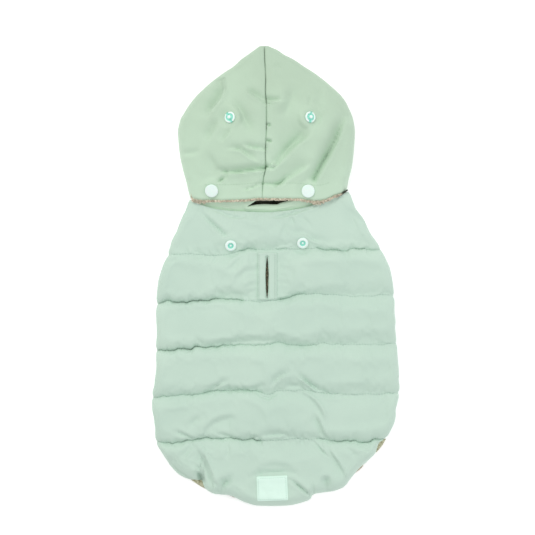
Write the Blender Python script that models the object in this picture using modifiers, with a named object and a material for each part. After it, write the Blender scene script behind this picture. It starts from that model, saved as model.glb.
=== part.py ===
"""Dog puffer jacket with a snap-on hood, laid flat with its back up.

The tables and functions work in millimetres; the meshes are written in metres.
+X is the right-hand side as the jacket lies, +Y runs from its tail to the tip
of its hood and +Z is up, away from the surface that it lies on. The origin is
under the middle of its outline, on that surface.
"""

import bisect
import math
from dataclasses import dataclass

import bmesh
import bpy
from mathutils import Vector
from mathutils.bvhtree import BVHTree

MM = 0.001
SEAM_GAP = 0.3              # between pieces that are sewn to each other
LIFT = 0.6                  # from a panel to a piece that lies on its slope

# Cloth thicknesses
BELLY_CLOTH = 3.4           # shell and sherpa together
COLLAR_CLOTH = 2.2
HOOD_CLOTH = 3.0
STITCHED_CLOTH = 4.0        # the quilted back where a quilting line holds it down
LINING_STRIP = 2.0
WELT_CLOTH = 1.2
LABEL_CLOTH = 0.8

# The body, seen from above
BODY_OUTLINE = (
    # y,     left,    right
    (78.5, -81.5, 69.5),
    (71.5, -81.5, 71.5),
    (62.0, -84.0, 76.0),
    (54.5, -87.0, 81.5),
    (43.0, -92.5, 87.5),
    (32.0, -97.0, 93.5),
    (20.0, -100.5, 100.5),
    (9.0, -104.5, 106.0),
    (-8.0, -109.5, 109.5),
    (-30.0, -112.0, 110.5),
    (-58.0, -111.0, 112.5),
    (-81.0, -111.5, 114.5),
    (-100.0, -113.5, 115.5),
    (-109.0, -115.0, 115.5),
    (-120.0, -115.5, 114.0),
    (-132.0, -114.0, 111.5),
    (-143.0, -113.0, 109.0),
    (-152.5, -112.5, 104.0),
    (-157.0, -111.5, 97.5),
    (-165.5, -107.5, 94.5),
    (-177.0, -99.0, 84.5),
)
QUILT_LINES = (
    # name,       left y, middle y, right y, loft of the zone below
    ("neckline", 71.5, 59.7, 78.5, 6.0),
    ("line_1", 19.5, 23.8, 25.2, 10.0),
    ("line_2", -25.6, -22.7, -17.6, 10.5),
    ("line_3", -69.7, -65.0, -64.1, 10.5),
    ("line_4", -113.9, -108.8, -111.1, 10.0),
    ("line_5", -156.2, -153.4, -152.5, 8.0),
)
TAIL_HEM = (
    # x,      y
    (-99.0, -177.0),
    (-90.0, -187.0),
    (-79.0, -191.5),
    (-73.0, -195.0),
    (-66.0, -200.0),
    (-56.0, -204.2),
    (-44.5, -205.5),
    (-27.5, -212.6),
    (-16.0, -215.6),
    (-2.0, -216.0),
    (12.0, -215.6),
    (28.5, -211.7),
    (35.0, -208.5),
    (41.0, -204.0),
    (52.0, -201.3),
    (62.5, -199.3),
    (68.5, -193.8),
    (79.5, -181.5),
    (84.5, -177.0),
)
MIDDLE_SHARE = 0.47         # where the centre back lies between the two sides
LINE_BOW = 2.4              # power of the bend of a quilting line
BODY_CREASES = (
    # x0,     y0,     x1,     y1, half width, depth
    (-63.0, 54.0, -44.5, 37.5, 5.0, 1.8),
    (19.5, -94.0, 44.0, -109.0, 5.0, 2.2),
    (29.0, -132.0, 44.0, -150.5, 6.0, 2.6),
    (-58.5, -133.5, -42.5, -143.0, 5.0, 1.8),
    (-79.0, -166.5, -69.0, -190.0, 5.0, 4.0),
    (38.0, -157.0, 66.0, -193.0, 6.0, 3.2),
    (14.5, -191.0, 34.0, -207.0, 5.0, 2.4),
)

# The body, through its thickness
PANEL_GAP = 0.6             # between the belly and the back that lies on it
BACK_INSIDE = BELLY_CLOTH + PANEL_GAP
SIDE_DROP = 0.2             # share of the height lost towards the sides
SIDE_RADIUS = 8.5
SIDE_WALL = 3.4
TURN_UNDER = 30.0           # cloth of the back that is turned under to the side seam
SMALLEST_TURN = 0.8
EDGE_LOW = 0.3              # hem edge above the surface
HEM_ROLL = 14.0             # over this distance the tail rounds down to its hem
HEM_EDGE_TOP = 2.0
HEM_LIP = 3.0
HEM_INSIDE_RISE = 5.0
LINING_INSET = 2.5          # the tail's lining stops this far inside the rounding of its sides
TAIL_SWELL = 0.35           # share of the tail over which it swells to its full height
SWELL_POWER = 0.6           # under 1, a channel is fuller at its edges than a sine
FULL_CREASE_LOFT = 6.0      # creases fade where the padding is thinner than this

# Where, up the jacket, one form of the body's sides gives way to the next
FOLD_ROUNDS = (-166.0, -151.0)      # from the hem's plain edge to the full side fold
TURN_GROWS = (-152.0, -105.0)       # from no turned-under cloth to all of it
TURN_SHRINKS = (42.0, 78.0)         # towards the neck
NECK_TURN_LOSS = 0.5
FOLD_CENTRE = 6.0
INSET_GROWS = (-140.0, -162.0)      # of the tail's lining

# Leg holes, half in the back's turned-under side and half in the belly
LEG_HOLE_Y = 14.0
LEG_HOLE_LENGTH = 60.0
LEG_HOLE_IN_BACK = 14.0
LEG_HOLE_IN_BELLY = 26.0

# Leash slit and its placket
SLIT_X = -7.7
SLIT_WIDTH = 3.0
SLIT_LOW, SLIT_HIGH = -21.5, 18.5
SLIT_END_WIDTH = 0.8
PLACKET_HALF_WIDTH = 10.5
PLACKET_HEIGHT = BACK_INSIDE + 5.5
PLACKET_BLEND = 14.0
PLACKET_ENDS = 0.08         # share of the channel over which the placket rises from its ends
WELTS_LOW, WELTS_HIGH = -19.2, 19.8
WELT_LIP = 0.1              # from the slit to a welt
WELT_MARGIN = 0.5           # from a welt to the placket's side

# The hood
HOOD_OUTLINE = (
    # y,     left,    right,   seam x
    (216.0, -15.5, -5.5, -10.3),
    (212.5, -20.0, 2.5, -10.2),
    (208.5, -25.5, 8.0, -10.1),
    (203.0, -33.0, 18.0, -10.0),
    (197.0, -40.0, 26.0, -9.9),
    (191.5, -48.0, 35.0, -9.8),
    (186.0, -55.0, 42.5, -9.7),
    (180.5, -62.0, 49.0, -9.6),
    (174.5, -69.0, 55.5, -9.5),
    (169.0, -74.5, 61.5, -9.5),
    (163.5, -78.5, 65.5, -9.5),
    (157.5, -83.0, 68.5, -9.4),
    (152.0, -86.0, 71.0, -9.0),
    (146.5, -89.5, 73.0, -8.5),
    (135.0, -91.5, 74.0, -8.4),
    (124.0, -90.5, 73.0, -9.0),
    (112.5, -89.5, 72.0, -9.4),
    (101.5, -87.0, 71.0, -8.9),
    (90.0, -84.0, 67.5, -11.4),
    (80.7, -82.0, 67.5, -12.0),
    (72.5, -80.0, 66.0, -12.3),
)
HOOD_HEM = (
    # x,     y
    (-80.0, 72.5),
    (-72.5, 69.3),
    (-55.0, 69.8),
    (-29.5, 70.3),
    (-10.5, 71.8),
    (20.5, 71.0),
    (38.5, 67.2),
    (47.5, 70.3),
    (62.0, 76.0),
    (67.5, 80.7),
)
HOOD_HEIGHTS = (
    # y,   ridge, side
    (66.0, 15.6, 15.2),
    (72.0, 16.2, 15.4),
    (82.0, 20.0, 15.8),
    (95.0, 25.5, 16.0),
    (110.0, 29.5, 16.5),
    (130.0, 32.0, 17.0),
    (150.0, 31.5, 16.5),
    (170.0, 27.0, 14.5),
    (190.0, 19.0, 11.0),
    (205.0, 12.0, 8.0),
    (212.0, 8.5, 6.5),
    (216.0, 6.5, 5.2),
)
HOOD_CREASES = (
    # x0,    y0,    x1,    y1, half width, depth
    (59.0, 142.5, 45.0, 107.0, 6.5, 4.0),
    (45.0, 107.0, 35.5, 91.0, 5.5, 3.0),
    (28.5, 132.0, 3.5, 110.0, 5.5, 2.6),
    (-7.0, 167.0, 7.0, 167.0, 4.5, 1.5),
    (-24.0, 168.0, -10.5, 162.5, 4.5, 1.5),
    (-36.5, 142.5, -18.5, 134.0, 4.5, 1.8),
    (-35.0, 124.0, -13.0, 121.0, 4.5, 1.8),
    (-46.5, 100.5, -13.5, 100.5, 5.5, 2.4),
    (-49.0, 183.0, -65.0, 145.5, 6.0, -1.5),
)
HOOD_ROWS = (216.0, 213.0, 208.5, 202.0, 194.0, 185.0, 176.0, 167.0, 158.0, 149.0, 139.5,
             130.0, 120.5, 111.0, 103.0, 96.0, 89.0, 83.0, 78.0, 74.5, 72.0)
HOOD_RADIUS = 9.0
HOOD_SIDE_CENTRE = 7.0
HOOD_TURN = (
    # y,   width of the cloth turned under towards the face opening
    (216.0, 0.8),
    (208.0, 2.5),
    (195.0, 12.0),
    (175.0, 24.0),
    (145.0, 30.0),
    (120.0, 28.0),
    (105.0, 16.0),
    (96.0, 0.8),
)
HOOD_DROP_START, HOOD_DROP_END = 95.0, 86.0     # here the sides stop turning under
SEAM_VALLEY_DEPTH = 3.6
SEAM_VALLEY_WIDTH = 5.0
VALLEY_STARTS = (74.0, 92.0)
VALLEY_ENDS = (216.5, 204.5)
HEM_BEND_REACH = 26.0       # the hood's rows follow its hem over this height
DOME_POWER = 2.1
TURN_CLEARANCE = 3.0        # between the turned-under cloth and the centre seam
# Near the tip, the side fold's sizes as shares of the half's width or height
TIP_RADIUS = 0.48
TIP_WALL = 0.45
TIP_CENTRE = 0.45
TIP_UNDER = 0.3
TIP_EXTRA = 0.2             # the top there is this much thicker than the fold's wall

# The collar band and the strip of lining below the hood's hem
COLLAR_LEFT, COLLAR_RIGHT = -75.5, 62.0
COLLAR_TOP = 8.4
COLLAR_FOLD = 6.0
COLLAR_SEAM_GAP = 0.5
COLLAR_LEAST_HEIGHT = 6.0
COLLAR_SHARES = (0.0, 0.2, 0.45, 0.72, 1.0)     # of the way from the seam to the rim
COLLAR_COLUMNS = 14
COLLAR_ANGLES = (60, 30, 0, -30, -60)           # round each side fold
COLLAR_RIM = (
    # x,    y of the upper rim, drop of the rim
    (-75.5, 80.5, 0.0),
    (-50.0, 78.0, 0.0),
    (-32.0, 69.5, 1.0),
    (-18.0, 66.6, 2.4),
    (-8.0, 66.4, 2.6),
    (8.0, 67.0, 2.4),
    (22.0, 70.0, 1.0),
    (38.0, 78.0, 0.0),
    (62.0, 86.0, 0.0),
)
LINING_STRIP_ENDS = (-68.0, 55.0)
LINING_STRIP_COLUMNS = 22
LINING_STRIP_ROWS = (8.0, 4.0, 0.0)             # above the hem
LINING_SHOWS = (
    # x,   how far the strip reaches below the hem
    (-68.0, 0.6),
    (-60.0, 2.6),
    (-48.0, 1.6),
    (-20.0, 1.0),
    (20.0, 1.0),
    (32.0, 2.4),
    (40.0, 1.6),
    (55.0, 0.6),
)

# Slivers of lining that stand out past the tail's hem, from the shell's edge outwards
HEM_LININGS = (
    # name,              shell side of the sliver,                free side of the sliver
    ("hem_lining_left",
     ((-78.5, -192.5), (-73.0, -195.6), (-68.0, -199.3)),
     ((-78.5, -193.8), (-73.6, -198.2), (-67.6, -200.4))),
    ("hem_lining_right",
     ((99.0, -156.6), (96.9, -160.4), (95.4, -165.0)),
     ((103.6, -155.6), (100.6, -160.4), (96.4, -165.6))),
)
HEM_LINING_HEIGHT = 2.2

# Snaps: the outline of each kind, from the top of its axis round its edge to the bottom
SNAP_PROFILES = {
    # kind: (radius, height), ...
    "cap": ((0.0, 2.4), (3.4, 2.3), (5.2, 1.85), (6.2, 1.0), (5.8, 0.0), (0.0, 0.0)),
    "stud": ((0.0, 2.8), (1.6, 2.7), (2.0, 2.1), (1.7, 1.0), (3.4, 0.8), (4.1, 1.5),
             (4.9, 1.3), (5.2, 0.4), (4.9, 0.0), (0.0, 0.0)),
    "socket": ((0.0, 1.0), (0.9, 0.8), (1.1, 0.5), (2.5, 0.5), (2.9, 1.6),
               (4.8, 1.4), (5.4, 0.6), (5.1, 0.0), (0.0, 0.0)),
}
SNAP_SIDES = 18
SNAP_WELD = 0.00001         # metres
SEAT_MARGIN = 4.0           # flat cloth round a snap
SEAT_BLEND = 7.0
SNAPS = (
    # name,              kind,     x,     y
    ("hood_cap_left", "cap", -59.9, 80.1),
    ("hood_cap_right", "cap", 30.9, 80.0),
    ("hood_stud_left", "stud", -42.5, 149.2),
    ("hood_stud_right", "stud", 32.7, 149.7),
    ("yoke_socket_left", "socket", -42.0, 28.6),
    ("yoke_socket_right", "socket", 25.8, 30.9),
)

# The blank patch at the hem
LABEL_LEFT, LABEL_RIGHT = -17.2, 11.4
LABEL_LOW, LABEL_HIGH = -209.8, -186.8

# How finely the walls are divided
ARC_STEPS = 5
TURN_STEPS = 2
YOKE_SHARES = (0.0, 0.08, 0.3, 0.6, 0.88)
CHANNEL_SHARES = (0.0, 0.08, 0.32, 0.62, 0.93)
TAIL_SHARES = (0.0, 0.12, 0.32, 0.55, 0.78)
HEM_BAND = (15.0, 8.0, 3.5, 1.0, 0.0)
SIDE_COLUMNS = 11           # from the placket to a side fold
HOOD_COLUMNS = 11           # from the centre seam to a side fold
HOOD_COLUMN_POWER = 1.15    # above 1, the columns are closer beside the seam
UNDER_COLUMNS = 10
BELLY_CHANNELS = 3          # the belly ends below this many channels
WELT_STEPS = (3, 6)         # across and along
LABEL_STEPS = (7, 6)
SHARP_ANGLE = 50.0          # degrees
RAY_START = 1.0             # metres above the surface

MATERIALS = {
    # name: (red, green, blue, roughness), linear colours
    "body_shell": (0.57, 0.74, 0.64, 0.75),
    "hood_shell": (0.53, 0.73, 0.54, 0.75),
    "sherpa": (0.58, 0.48, 0.36, 0.95),
    "snap_plastic": (0.72, 0.97, 0.88, 0.35),
    "label_cloth": (0.73, 0.93, 0.82, 0.8),
}


# ---------------------------------------------------------------- curves

def lerp(start, end, share):
    return start + (end - start) * share


def clamp(value, low=0.0, high=1.0):
    return max(low, min(high, value))


def smooth_step(value, start, end):
    share = clamp((value - start) / (end - start))
    return share * share * (3 - 2 * share)


def smooth_curve(points):
    """A smooth function through (place, value) points, flat beyond its ends."""
    points = sorted(points)
    places = [place for place, _ in points]
    values = [value for _, value in points]
    steps = [(values[i + 1] - values[i]) / (places[i + 1] - places[i])
             for i in range(len(points) - 1)]
    slopes = [steps[0]]
    for before, after in zip(steps, steps[1:]):
        same_way = before * after > 0
        slopes.append(2 * before * after / (before + after) if same_way else 0.0)
    slopes.append(steps[-1])

    def value_at(place):
        if place <= places[0]:
            return values[0]
        if place >= places[-1]:
            return values[-1]
        i = bisect.bisect_right(places, place) - 1
        span = places[i + 1] - places[i]
        t = (place - places[i]) / span
        return (values[i] * (1 + 2 * t) * (1 - t) ** 2
                + values[i + 1] * t * t * (3 - 2 * t)
                + slopes[i] * span * t * (1 - t) ** 2
                + slopes[i + 1] * span * t * t * (t - 1))

    return value_at


def column_curve(table, column):
    """The curve of one column of a table over its first column."""
    return smooth_curve([(row[0], row[column]) for row in table])


body_left = column_curve(BODY_OUTLINE, 1)
body_right = column_curve(BODY_OUTLINE, 2)
tail_hem = column_curve(TAIL_HEM, 1)
hood_left_edge = column_curve(HOOD_OUTLINE, 1)
hood_right_edge = column_curve(HOOD_OUTLINE, 2)
hood_seam = column_curve(HOOD_OUTLINE, 3)
hood_hem = column_curve(HOOD_HEM, 1)
hood_ridge = column_curve(HOOD_HEIGHTS, 1)
hood_side = column_curve(HOOD_HEIGHTS, 2)
hood_turn = column_curve(HOOD_TURN, 1)
collar_rim = column_curve(COLLAR_RIM, 1)
collar_sag = column_curve(COLLAR_RIM, 2)
collar_front_rim = smooth_curve((COLLAR_RIM[0][:2], COLLAR_RIM[-1][:2]))
lining_shows = column_curve(LINING_SHOWS, 1)


def crease_depth(creases, x, y):
    """How far the creases of a table press the cloth down at a point."""
    depth = 0.0
    for x0, y0, x1, y1, half_width, deepest in creases:
        along = Vector((x1 - x0, y1 - y0))
        from_start = Vector((x - x0, y - y0))
        share = clamp(from_start.dot(along) / along.length_squared)
        distance = (from_start - along * share).length
        depth += deepest * math.exp(-(distance / half_width) ** 2)
    return depth


# ---------------------------------------------------------------- heights of the cloth

def line_y(index, share):
    """Height up the jacket of a quilting line, at a share of the way across."""
    _, left, middle, right, _ = QUILT_LINES[index]
    if share < MIDDLE_SHARE:
        return lerp(middle, left, ((MIDDLE_SHARE - share) / MIDDLE_SHARE) ** LINE_BOW)
    return lerp(middle, right, ((share - MIDDLE_SHARE) / (1 - MIDDLE_SHARE)) ** LINE_BOW)


def line_ends(index):
    _, left, _, right, _ = QUILT_LINES[index]
    return body_left(left), body_right(right)


def line_y_at(index, x):
    left, right = line_ends(index)
    return line_y(index, clamp((x - left) / (right - left)))


def zone_at(x, y):
    """The quilting zone that holds a point, and the share of the way down it."""
    last = len(QUILT_LINES) - 1
    for index in range(last):
        below = line_y_at(index + 1, x)
        if y >= below:
            above = line_y_at(index, x)
            return index, clamp((above - y) / (above - below))
    above = line_y_at(last, x)
    return last, clamp((above - y) / (above - tail_hem(x)))


def hem_distance(x, y):
    """Distance from a point of the tail to its hem, straight across the edge."""
    slope = (tail_hem(x + 2) - tail_hem(x - 2)) / 4
    return (y - tail_hem(x)) / math.hypot(1, slope)


def quilted_height(x, y):
    """Height of the back's outer cloth, without the snaps' flat seats."""
    zone, share = zone_at(x, y)
    is_tail = zone == len(QUILT_LINES) - 1
    if is_tail:
        swell = math.sin(math.pi / 2 * clamp(share / TAIL_SWELL)) ** SWELL_POWER
    else:
        swell = math.sin(math.pi * share) ** SWELL_POWER if 0 < share < 1 else 0.0
    centre = (body_left(y) + body_right(y)) / 2
    across = clamp(abs(x - centre) / (body_right(y) - centre))
    loft = QUILT_LINES[zone][4] * swell * (1 - SIDE_DROP * across ** 3)
    height = BACK_INSIDE + STITCHED_CLOTH + loft
    height -= crease_depth(BODY_CREASES, x, y) * min(1.0, loft / FULL_CREASE_LOFT)
    if zone == 1:
        beside = smooth_step(abs(x - SLIT_X), PLACKET_HALF_WIDTH,
                             PLACKET_HALF_WIDTH + PLACKET_BLEND)
        edge = smooth_step(min(share, 1 - share), 0.0, PLACKET_ENDS)
        height = lerp(lerp(height, PLACKET_HEIGHT, edge), height, beside)
    if is_tail:
        roll = clamp(hem_distance(x, y) / HEM_ROLL)
        height = lerp(HEM_EDGE_TOP, height, math.sqrt(1 - (1 - roll) ** 2))
    return height


def back_inside(x, y):
    """Height of the back's plain inside, which comes down at the tail's hem."""
    if zone_at(x, y)[0] < len(QUILT_LINES) - 1:
        return BACK_INSIDE
    rise = clamp((hem_distance(x, y) - HEM_LIP) / HEM_INSIDE_RISE)
    return lerp(EDGE_LOW, BACK_INSIDE, math.sqrt(1 - (1 - rise) ** 2))


def domed_height(x, y):
    """Height of the hood's outer cloth, without the snaps' flat seats."""
    seam = hood_seam(y)
    edge = hood_left_edge(y) if x < seam else hood_right_edge(y)
    across = clamp((x - seam) / (edge - seam))
    height = lerp(hood_ridge(y), hood_side(y), across ** DOME_POWER)
    depth = SEAM_VALLEY_DEPTH * smooth_step(y, *VALLEY_STARTS) * smooth_step(y, *VALLEY_ENDS)
    height -= depth * math.exp(-((x - seam) / SEAM_VALLEY_WIDTH) ** 2)
    return height - crease_depth(HOOD_CREASES, x, y)


@dataclass
class Seat:
    """The flat cloth under a snap: a point on it and its slopes."""

    x: float
    y: float
    z: float
    slope_x: float
    slope_y: float
    radius: float

    def height(self, x, y):
        return self.z + self.slope_x * (x - self.x) + self.slope_y * (y - self.y)


def find_seat(height, x, y, radius):
    reach = radius + 1
    slope_x = (height(x + reach, y) - height(x - reach, y)) / (2 * reach)
    slope_y = (height(x, y + reach) - height(x, y - reach)) / (2 * reach)
    return Seat(x, y, height(x, y), slope_x, slope_y, radius)


def seated_height(height, seats):
    """A height function that is flat under each snap."""
    def height_at(x, y):
        z = height(x, y)
        for seat in seats:
            distance = math.hypot(x - seat.x, y - seat.y)
            inner = seat.radius + SEAT_MARGIN
            blend = smooth_step(distance, inner, inner + SEAT_BLEND)
            z = lerp(seat.height(x, y), z, blend)
        return z
    return height_at


def snap_radius(kind):
    return max(radius for radius, _ in SNAP_PROFILES[kind])


seats = {name: find_seat(quilted_height if kind == "socket" else domed_height,
                         x, y, snap_radius(kind))
         for name, kind, x, y in SNAPS}
back_height = seated_height(quilted_height, [seats[row[0]] for row in SNAPS if row[1] == "socket"])
hood_height = seated_height(domed_height, [seats[row[0]] for row in SNAPS if row[1] != "socket"])


# ---------------------------------------------------------------- folded sides

@dataclass
class Fold:
    """How a panel's side rounds down and turns under."""

    radius: float
    wall: float
    centre: float           # height of the outer fold's middle
    inner_centre: float
    under: float            # thickness of the cloth turned under
    end_angle: float        # where the rounding stops: -90 degrees is flat underneath
    turn: float             # cloth past the rounding


def fold_points(edge, side, top, fold, outside):
    """(x, z) points from just past a panel's top to the end of its turned side."""
    radius = fold.radius if outside else fold.radius - fold.wall
    centre = fold.centre if outside else fold.inner_centre
    lowest = 0.0 if outside else fold.under
    points = []
    for step in range(1, ARC_STEPS + 1):
        angle = lerp(math.pi / 2, fold.end_angle, step / ARC_STEPS)
        rise = top - centre if angle > 0 else centre - lowest
        points.append((edge - side * (fold.radius - radius * math.cos(angle)),
                       centre + rise * math.sin(angle)))
    x, z = points[-1]
    for step in range(1, TURN_STEPS + 1):
        reach = fold.turn * step / TURN_STEPS
        points.append((x + side * reach * math.sin(fold.end_angle),
                       z - reach * math.cos(fold.end_angle)))
    return points


def leg_hole_share(y):
    """A leg hole's width at a height up the jacket, as a share of its full width."""
    return math.sqrt(max(0.0, 1 - ((y - LEG_HOLE_Y) / (LEG_HOLE_LENGTH / 2)) ** 2))


def body_fold(y):
    """The side fold of the body at a height up the jacket."""
    flat = smooth_step(y, *FOLD_ROUNDS)
    turn = TURN_UNDER * smooth_step(y, *TURN_GROWS)
    turn *= 1 - NECK_TURN_LOSS * smooth_step(y, *TURN_SHRINKS)
    turn -= LEG_HOLE_IN_BACK * leg_hole_share(y)
    return Fold(radius=SIDE_RADIUS, wall=SIDE_WALL,
                centre=lerp(EDGE_LOW + SMALLEST_TURN, FOLD_CENTRE, flat),
                inner_centre=lerp(EDGE_LOW + SMALLEST_TURN, BELLY_CLOTH + PANEL_GAP / 2, flat),
                under=BELLY_CLOTH,
                end_angle=-math.pi / 2 * flat,
                turn=max(SMALLEST_TURN, turn))


def hood_fold(y, width):
    """The side fold of a hood half at a height up the jacket."""
    turned = smooth_step(y, HOOD_DROP_END, HOOD_DROP_START)
    radius = min(HOOD_RADIUS, TIP_RADIUS * width)
    wall = min(HOOD_CLOTH, TIP_WALL * radius)
    centre = min(HOOD_SIDE_CENTRE, TIP_CENTRE * hood_side(y))
    return Fold(radius=radius, wall=wall,
                centre=lerp(EDGE_LOW + SMALLEST_TURN, centre, turned),
                inner_centre=lerp(EDGE_LOW + SMALLEST_TURN, centre, turned),
                under=min(HOOD_CLOTH, TIP_UNDER * hood_side(y)),
                end_angle=-math.pi / 2 * turned,
                turn=min(hood_turn(y), max(SMALLEST_TURN, width - radius - TURN_CLEARANCE)))


# ---------------------------------------------------------------- walls

def new_object(name, bm, material):
    """An object in the jacket's collection from a mesh made in millimetres."""
    bmesh.ops.recalc_face_normals(bm, faces=bm.faces)
    bmesh.ops.scale(bm, vec=(MM, MM, MM), verts=bm.verts)
    mesh = bpy.data.meshes.new(name)
    bm.to_mesh(mesh)
    bm.free()
    mesh.shade_smooth()
    mesh.set_sharp_from_angle(angle=math.radians(SHARP_ANGLE))
    mesh.materials.append(materials[material])
    obj = bpy.data.objects.new(name, mesh)
    jacket.objects.link(obj)
    return obj


def add_wall(name, outer, inner, material, ring=False, gaps=()):
    """A closed wall between two grids of points with the same rows and columns.

    A ring's last column joins its first. The cells listed in gaps, as (row,
    column), are cut through.
    """
    bm = bmesh.new()
    rows = len(outer)
    columns = len(outer[0])
    cells_across = columns if ring else columns - 1
    layers = [[[bm.verts.new(point) for point in row] for row in grid]
              for grid in (outer, inner)]

    def is_cloth(i, j):
        if ring:
            j %= columns
        return 0 <= i < rows - 1 and 0 <= j < cells_across and (i, j) not in gaps

    def corner(layer, i, j):
        return layers[layer][i][j % columns]

    for i in range(rows - 1):
        for j in range(cells_across):
            if not is_cloth(i, j):
                continue
            corners = [(i, j), (i, j + 1), (i + 1, j + 1), (i + 1, j)]
            beside = [(i - 1, j), (i, j + 1), (i + 1, j), (i, j - 1)]
            for layer in range(2):
                bm.faces.new([corner(layer, *place) for place in corners])
            for k, cell in enumerate(beside):
                if not is_cloth(*cell):
                    a, b = corners[k], corners[(k + 1) % 4]
                    bm.faces.new([corner(0, *a), corner(0, *b), corner(1, *b), corner(1, *a)])
    used = {vert for face in bm.faces for vert in face.verts}
    for vert in [v for v in bm.verts if v not in used]:
        bm.verts.remove(vert)
    return new_object(name, bm, material)


# ---------------------------------------------------------------- the body

@dataclass
class BodyRow:
    """One section across the body: its height up the jacket at each share of the way."""

    y_at: object
    left: float
    right: float

    def y(self, x):
        return self.y_at(clamp((x - self.left) / (self.right - self.left)))


def zone_row(index, share):
    """A row that lies a share of the way from one quilting line to the next."""
    def y_at(place):
        return lerp(line_y(index, place), line_y(index + 1, place), share)
    return BodyRow(y_at, body_left(y_at(0)), body_right(y_at(1)))


def hem_row_y(distance):
    """The curve that runs a distance inside the tail's hem."""
    first, last = TAIL_HEM[0][0], TAIL_HEM[-1][0]

    def y_at(place):
        x = lerp(first, last, place)
        slope = (tail_hem(x + 2) - tail_hem(x - 2)) / 4
        return tail_hem(x) + distance * math.hypot(1, slope)
    return y_at


def tail_row(share):
    """A row between the last quilting line and the band that rounds down to the hem."""
    start = len(QUILT_LINES) - 1
    end = hem_row_y(HEM_BAND[0])

    def y_at(place):
        return lerp(line_y(start, place), end(place), share)
    return BodyRow(y_at, body_left(y_at(0)), body_right(y_at(1)))


def hem_row(distance):
    y_at = hem_row_y(distance)
    return BodyRow(y_at, body_left(y_at(0)), body_right(y_at(1)))


def body_rows():
    rows = [zone_row(0, share) for share in YOKE_SHARES]
    for index in range(1, len(QUILT_LINES) - 1):
        rows += [zone_row(index, share) for share in CHANNEL_SHARES]
    rows += [tail_row(share) for share in TAIL_SHARES]
    return rows + [hem_row(distance) for distance in HEM_BAND]


def slit_half_width(y):
    """Half the slit's width, or half of the narrow strip above and below it."""
    along = clamp((y - SLIT_LOW) / (SLIT_HIGH - SLIT_LOW))
    return lerp(SLIT_END_WIDTH, SLIT_WIDTH, math.sin(math.pi * along)) / 2


def back_half(row, side):
    """(x, y, z outside, x inside, z inside) from the slit to the end of one turned side."""
    edge = row.left if side < 0 else row.right
    fold = body_fold(row.y(edge))
    lip = SLIT_X + side * slit_half_width(row.y(SLIT_X))
    start = edge - side * fold.radius
    placket = SLIT_X + side * PLACKET_HALF_WIDTH
    places = [lip] + [lerp(placket, start, i / SIDE_COLUMNS) for i in range(SIDE_COLUMNS + 1)]
    points = []
    for x in places:
        y = row.y(x)
        points.append((x, y, back_height(x, y), x, back_inside(x, y)))
    top, inside = points[-1][2], points[-1][4]
    outer = fold_points(edge, side, top, fold, outside=True)
    inner = fold_points(edge, side, inside, fold, outside=False)
    for (x, z), (x_in, z_in) in zip(outer, inner):
        points.append((x, row.y(x), z, x_in, z_in))
    return points


def add_back_panel(rows):
    outer, inner, gaps = [], [], []
    for i, row in enumerate(rows):
        points = back_half(row, -1)[::-1] + back_half(row, 1)
        outer.append([(x, y, z) for x, y, z, _, _ in points])
        inner.append([(x_in, y, z_in) for _, y, _, x_in, z_in in points])
        slit_column = len(points) // 2 - 1
        if i and rows[i - 1].y(SLIT_X) <= SLIT_HIGH + 1 and row.y(SLIT_X) >= SLIT_LOW - 1:
            gaps.append((i - 1, slit_column))
    return add_wall("back_panel", outer, inner, "body_shell", gaps=gaps)


def seam_x(row, side):
    """Where the side seam lies under the body, on the back panel's side of it."""
    edge = row.left if side < 0 else row.right
    fold = body_fold(row.y(edge))
    return edge - side * (fold.radius + fold.turn)


def belly_edge(row, side):
    """Where the panels under the body end, a seam's gap and a leg hole in from the side seam."""
    edge = row.left if side < 0 else row.right
    inset = LINING_INSET * smooth_step(row.y(edge), *INSET_GROWS)
    hole_width = (LEG_HOLE_IN_BACK + LEG_HOLE_IN_BELLY) * leg_hole_share(row.y(edge))
    return seam_x(row, side) - side * (SEAM_GAP + inset + hole_width)


def add_under_panel(name, rows, material, first_shift=0.0):
    """A plain flat panel that lies on the surface, as wide as the side seams leave."""
    upper, lower = [], []
    for i, row in enumerate(rows):
        left, right = belly_edge(row, -1), belly_edge(row, 1)
        shift = first_shift if i == 0 else 0.0
        line = [lerp(left, right, j / UNDER_COLUMNS) for j in range(UNDER_COLUMNS + 1)]
        upper.append([(x, row.y(x) + shift, BELLY_CLOTH) for x in line])
        lower.append([(x, row.y(x) + shift, 0.0) for x in line])
    return add_wall(name, upper, lower, material)


def add_hem_linings():
    for name, shell_side, free_side in HEM_LININGS:
        upper = [[(x, y, HEM_LINING_HEIGHT) for x, y in line] for line in (shell_side, free_side)]
        lower = [[(x, y, EDGE_LOW) for x, y in line] for line in (shell_side, free_side)]
        add_wall(name, upper, lower, "sherpa")


# ---------------------------------------------------------------- pieces that lie on a panel

def drop_on(panel, x, y):
    """Height of a panel's upper face under a point."""
    above = Vector((x * MM, y * MM, RAY_START))
    point, _, _, _ = panel.ray_cast(above, Vector((0, 0, -1)))
    return point.z / MM


def panel_tree(obj):
    bm = bmesh.new()
    bm.from_mesh(obj.data)
    bmesh.ops.triangulate(bm, faces=bm.faces)
    tree = BVHTree.FromBMesh(bm)
    bm.free()
    return tree


def add_patch(name, panel, sides, steps, thickness, material):
    """A rectangular patch that follows a panel: its left, right, low and high sides."""
    left, right, low, high = sides
    across, along = steps
    upper, lower = [], []
    for i in range(along + 1):
        y = lerp(low, high, i / along)
        places = [lerp(left, right, j / across) for j in range(across + 1)]
        heights = [drop_on(panel, x, y) + LIFT for x in places]
        lower.append([(x, y, z) for x, z in zip(places, heights)])
        upper.append([(x, y, z + thickness) for x, z in zip(places, heights)])
    return add_wall(name, upper, lower, material)


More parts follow.
